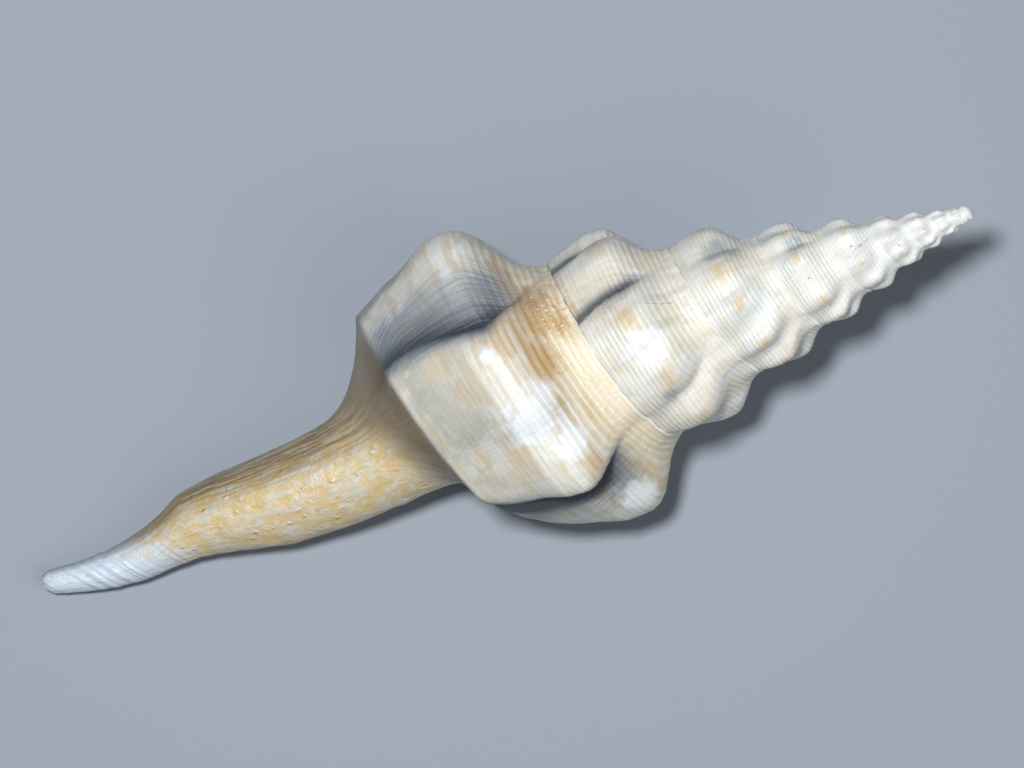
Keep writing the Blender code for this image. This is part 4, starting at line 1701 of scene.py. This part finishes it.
    def inside(self) -> Material:
        """Return the smooth glossy lining of the aperture.

        Returns:
            The material.
        """
        self.start(Part.INSIDE.value)
        tree, look = self.tree, self.finish
        lines = self.effect(self.effects.lines, Arc=self.arc, Row=self.row, Spacing=9.0)
        grain = self.effect(self.effects.grain, Place=self.object_place, Size=3.0)
        colour = blend(tree, lines["Streak"].step(0.45, 0.7) * 0.5, look.inside, look.white)
        colour = blend(tree, grain["Mottle"].step(0.5, 0.7) * 0.25, colour, look.cream)
        plug(tree, self.shader.inputs["Base Color"], colour)
        plug(tree, self.shader.inputs["Roughness"], grain["Grain"] * 0.2 + 0.18)
        self.relief(lines["Height"] * 0.5 + (grain["Grain"] - 0.5) * 0.2, 0.6)
        return self.material

    def relief(self, height: Signal, strength: float) -> None:
        """Send a height in drawing units to the shader's normal.

        Args:
            height: the height.
            strength: how strongly it shows.
        """
        bump = add_node(self.tree, "ShaderNodeBump", {
            "Strength": strength, "Distance": Growth.unit, "Height": height})
        plug(self.tree, self.shader.inputs["Normal"], bump.outputs[0])


class Shell:
    """The whole shell as one closed piece."""

    NODE = "shell"

    def __init__(self, growth: Growth, relief: Relief, finish: ShellFinish) -> None:
        """Keep the growth law, the relief and the finish.

        Args:
            growth: the growth law.
            relief: heights of the relief.
            finish: colours and gloss.
        """
        self.growth = growth
        self.relief = relief
        self.finish = finish
        self.pose = Pose.from_frame(growth, self.NODE)

    def build(self) -> Object:
        """Return the finished piece, riding on its body.

        Returns:
            The piece.
        """
        surface = ShellSurface(self.growth)
        net = surface.build()
        raw = self.net_mesh(net)
        paint = ShellPaint(self.finish, Effects(), self.pose)
        piece = self.grow(raw, paint.outside(), paint.inside())
        add_cavity(piece.data, self.growth.unit)
        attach(piece, "root")
        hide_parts(self.NODE)
        LOG.info("shell: %d faces, %d triangles", len(piece.data.polygons),
                 sum(len(p.vertices) - 2 for p in piece.data.polygons))
        return piece

    def net_mesh(self, net: GrowthNet) -> Object:
        """Return the net as a mesh with its growth numbers and UV maps.

        Args:
            net: the closed net.

        Returns:
            An object with that mesh, not yet wound.
        """
        start = net_points(net) * self.growth.unit
        mesh = bpy.data.meshes.new("shell_net")
        flip = signed_volume(start, net.faces) < 0.0
        faces = [face[::-1] for face in net.faces] if flip else net.faces
        mesh.from_pydata(start.tolist(), [], faces)
        for name in GrowthNet.NUMBERS:
            store(mesh, name, "FLOAT", "POINT", np.concatenate(net.parts[name]))
        corners = self.ordered_corners(net, flip)
        angle, row = corners[:, 0], corners[:, 1]
        turn = turn_of(angle)
        s = self.growth.share(row)
        wave = rib_wave(self.growth.ribs(angle - self.growth.lean(angle, s)))
        self.add_uv(mesh, "growth", self.growth.arc_length(angle), row)
        self.add_uv(mesh, "form", wave, turn)
        store(mesh, "cord_uv", "FLOAT", "CORNER", cord_number(turn, row).astype(np.float32))
        store(mesh, "inner", "BOOLEAN", "FACE", np.arange(len(faces)) >= net.inner_from)
        mesh.polygons.foreach_set("use_smooth", np.ones(len(faces), bool))
        return put("shell_net", mesh)

    @staticmethod
    def ordered_corners(net: GrowthNet, flip: bool) -> np.ndarray:
        """Return angle and row of every face corner in the order of the mesh.

        Args:
            net: the closed net.
            flip: whether the faces of the mesh are turned over.

        Returns:
            Rows of angle and row.
        """
        corners = np.array(net.corners)
        if not flip:
            return corners
        order = []
        start = 0
        for face in net.faces:
            order.extend(range(start + len(face) - 1, start - 1, -1))
            start += len(face)
        return corners[order]

    @staticmethod
    def add_uv(mesh: Mesh, name: str, u: np.ndarray, v: np.ndarray) -> None:
        """Add a UV map from the numbers of all face corners."""
        layer = mesh.uv_layers.new(name=name)
        layer.data.foreach_set("uv", np.column_stack([u, v]).astype(np.float32).ravel())

    def grow(self, net_object: Object, outside: Material, inside: Material) -> Object:
        """Return the plain mesh that the growth tree makes of the net.

        Args:
            net_object: the object with the net, which is used up.
            outside: material of the outside.
            inside: material of the lining.

        Returns:
            The object with the plain mesh.
        """
        tree = ReliefTree().tree
        modifier = net_object.modifiers.new("growth", "NODES")
        modifier.node_group = tree
        values = {
            "Unit": self.growth.unit, "Pitch": math.radians(self.growth.pitch_deg),
            "Shift": self.pose.shift, Part.OUTSIDE.value: outside,
            Part.INSIDE.value: inside, **self.relief.values()}
        for socket in tree.interface.items_tree:
            if socket.in_out == "INPUT" and socket.name in values:
                modifier[socket.identifier] = values[socket.name]
        bpy.context.view_layer.update()
        graph = bpy.context.evaluated_depsgraph_get()
        mesh = bpy.data.meshes.new_from_object(net_object.evaluated_get(graph),
                                               preserve_all_data_layers=True,
                                               depsgraph=graph)
        net_object.modifiers.remove(modifier)
        bpy.data.objects.remove(net_object, do_unlink=True)
        mesh.name = "spindle_shell"
        return put("spindle_shell", mesh)


def signed_volume(points: np.ndarray, faces: Sequence[Sequence[int]]) -> float:
    """Return the volume inside the faces, negative if they point inwards.

    Args:
        points: the vertices.
        faces: vertex indices of each face.

    Returns:
        The volume in the cube of the unit of the points.
    """
    corners = [(face[0], face[k], face[k + 1]) for face in faces
               for k in range(1, len(face) - 1)]
    a, b, c = (points[np.array(column)] for column in zip(*corners))
    return float(np.einsum("ij,ij->i", a, np.cross(b, c)).sum()) / 6.0


def store(mesh: Mesh, name: str, kind: str, domain: str, values: np.ndarray) -> None:
    """Store a value for each item of a mesh."""
    mesh.attributes.new(name, kind, domain).data.foreach_set("value", values)


def read_numbers(items: Sequence, name: str, width: int, kind: type) -> np.ndarray:
    """Return a property of all items of a mesh as rows of numbers.

    Args:
        items: vertices or edges of a mesh.
        name: name of the property.
        width: numbers for each item.
        kind: type of the numbers.

    Returns:
        A row for each item.
    """
    values = np.empty(len(items) * width, kind)
    items.foreach_get(name, values)
    return values.reshape(-1, width)


def add_cavity(mesh: Mesh, unit: float) -> None:
    """Store how deep each vertex lies below its smoothed neighbourhood.

    Args:
        mesh: the mesh that gets the attribute, positive in hollows.
        unit: metres in one unit of the stored number.
    """
    count = len(mesh.vertices)
    points = read_numbers(mesh.vertices, "co", 3, float)
    normals = read_numbers(mesh.vertices, "normal", 3, float)
    edges = read_numbers(mesh.edges, "vertices", 2, int)
    one, two = np.concatenate([edges, edges[:, ::-1]]).T
    length = np.linalg.norm(points[one] - points[two], axis=1) + 1e-9
    degree = np.bincount(one, weights=length, minlength=count)
    smoothed = points.copy()
    for _ in range(CAVITY_ROUNDS):
        smoothed = np.stack([
            np.bincount(one, weights=smoothed[two, axis] * length, minlength=count) / degree
            for axis in range(3)], -1)
    depth = np.einsum("ij,ij->i", smoothed - points, normals) / unit
    store(mesh, "cavity", "FLOAT", "POINT", depth.astype(np.float32))


@dataclass(frozen=True)
class View:
    """The camera of the picture: straight above the shell."""

    look_at_place: float = 464.5      # place on the axis near the middle of the picture
    offset: tuple = (-25.9, 14.3)     # picture centre beside that place
    distance: float = 5057.0          # above the axis at that place
    turn_deg: float = 22.27           # direction of the axis in the picture
    lens: float = 177.8
    sensor: float = 36.0

    def build(self, pose: Pose) -> Object:
        """Return the camera and make it the scene's camera.

        Args:
            pose: where the shell lies.

        Returns:
            The camera.
        """
        axis = pose.to_frame(np.array([[-self.look_at_place, 0.0, 0.0]]))[0]
        unit = pose.growth.unit
        data = bpy.data.cameras.new("camera")
        data.lens, data.sensor_width = self.lens, self.sensor
        data.clip_start, data.clip_end = 0.01, 10.0
        camera = put("camera", data)
        turn = math.radians(self.turn_deg)
        right = Vector((math.cos(turn), -math.sin(turn), 0.0))
        up = Vector((math.sin(turn), math.cos(turn), 0.0))
        back = right.cross(up)
        rotation = Matrix((right, up, back)).transposed().to_4x4()
        location = Vector((axis[0] + self.offset[0] * unit,
                           axis[1] + self.offset[1] * unit,
                           axis[2] + self.distance * unit))
        camera.matrix_world = Matrix.Translation(location) @ rotation
        bpy.context.scene.camera = camera
        return camera


@dataclass(frozen=True)
class Lamp:
    """A soft round light, placed by its direction from the shell."""

    name: str
    azimuth: float
    elevation: float
    distance: float
    size: float
    power: float
    colour: tuple = (1.0, 1.0, 1.0)

    def build(self) -> Object:
        """Return the light, turned to the shell.

        Returns:
            The light.
        """
        data = bpy.data.lights.new(self.name, "AREA")
        data.shape = "DISK"
        data.size, data.energy, data.color = self.size, self.power, self.colour
        light = put(self.name, data)
        azimuth, elevation = math.radians(self.azimuth), math.radians(self.elevation)
        way = Vector((math.cos(elevation) * math.cos(azimuth),
                      math.cos(elevation) * math.sin(azimuth), math.sin(elevation)))
        light.location = way * self.distance + Vector((0.0, 0.0, 0.02))
        light.rotation_euler = way.to_track_quat("Z", "Y").to_euler()
        return light


class Studio:
    """Pale floor, soft lights and the world around them."""

    LAMPS = (
        Lamp("key", 116.0, 80.0, 0.95, 0.12, 10.2, (1.0, 0.99, 0.97)),
        Lamp("fill", -50.0, 48.0, 1.0, 0.8, 2.8, (1.0, 0.98, 0.95)))
    FLOOR_SIZE = 3.0
    FLOOR_COLOUR = (0.27, 0.31, 0.37, 1.0)
    FLOOR_GAP = 0.00005
    SKY_COLOUR = (0.80, 0.88, 1.0, 1.0)
    SKY_STRENGTH = 0.04

    def build(self) -> None:
        """Add the floor, the lights and the world."""
        self.floor()
        for lamp in self.LAMPS:
            lamp.build()
        self.world()
        LOG.info("studio: floor and %d lights", len(self.LAMPS))

    def floor(self) -> Object:
        """Return the plain floor under the shell.

        Returns:
            The floor, a little below the shell.
        """
        mesh = bpy.data.meshes.new("floor")
        half = self.FLOOR_SIZE / 2.0
        mesh.from_pydata([(-half, -half, 0.0), (half, -half, 0.0), (half, half, 0.0),
                          (-half, half, 0.0)], [], [(0, 1, 2, 3)])
        material = bpy.data.materials.new("floor_pale")
        material.use_nodes = True
        shader = material.node_tree.nodes["Principled BSDF"]
        shader.inputs["Base Color"].default_value = self.FLOOR_COLOUR
        shader.inputs["Roughness"].default_value = 0.9
        mesh.materials.append(material)
        floor = put("floor", mesh)
        floor.location.z = CAD_BOX[0][2] - self.FLOOR_GAP
        return floor

    def world(self) -> None:
        """Give the world a dim even light."""
        world = bpy.data.worlds.new("studio")
        world.use_nodes = True
        background = world.node_tree.nodes["Background"]
        background.inputs["Color"].default_value = self.SKY_COLOUR
        background.inputs["Strength"].default_value = self.SKY_STRENGTH
        bpy.context.scene.world = world
        bpy.context.scene.view_settings.view_transform = "Standard"


def main() -> None:
    """Build the shell, its studio and the camera."""
    logging.basicConfig(level=logging.INFO, format="%(name)s %(message)s")
    shell = Shell(Growth(), Relief(), ShellFinish())
    shell.build()
    Studio().build()
    View().build(shell.pose)


if __name__ == "__main__":
    main()
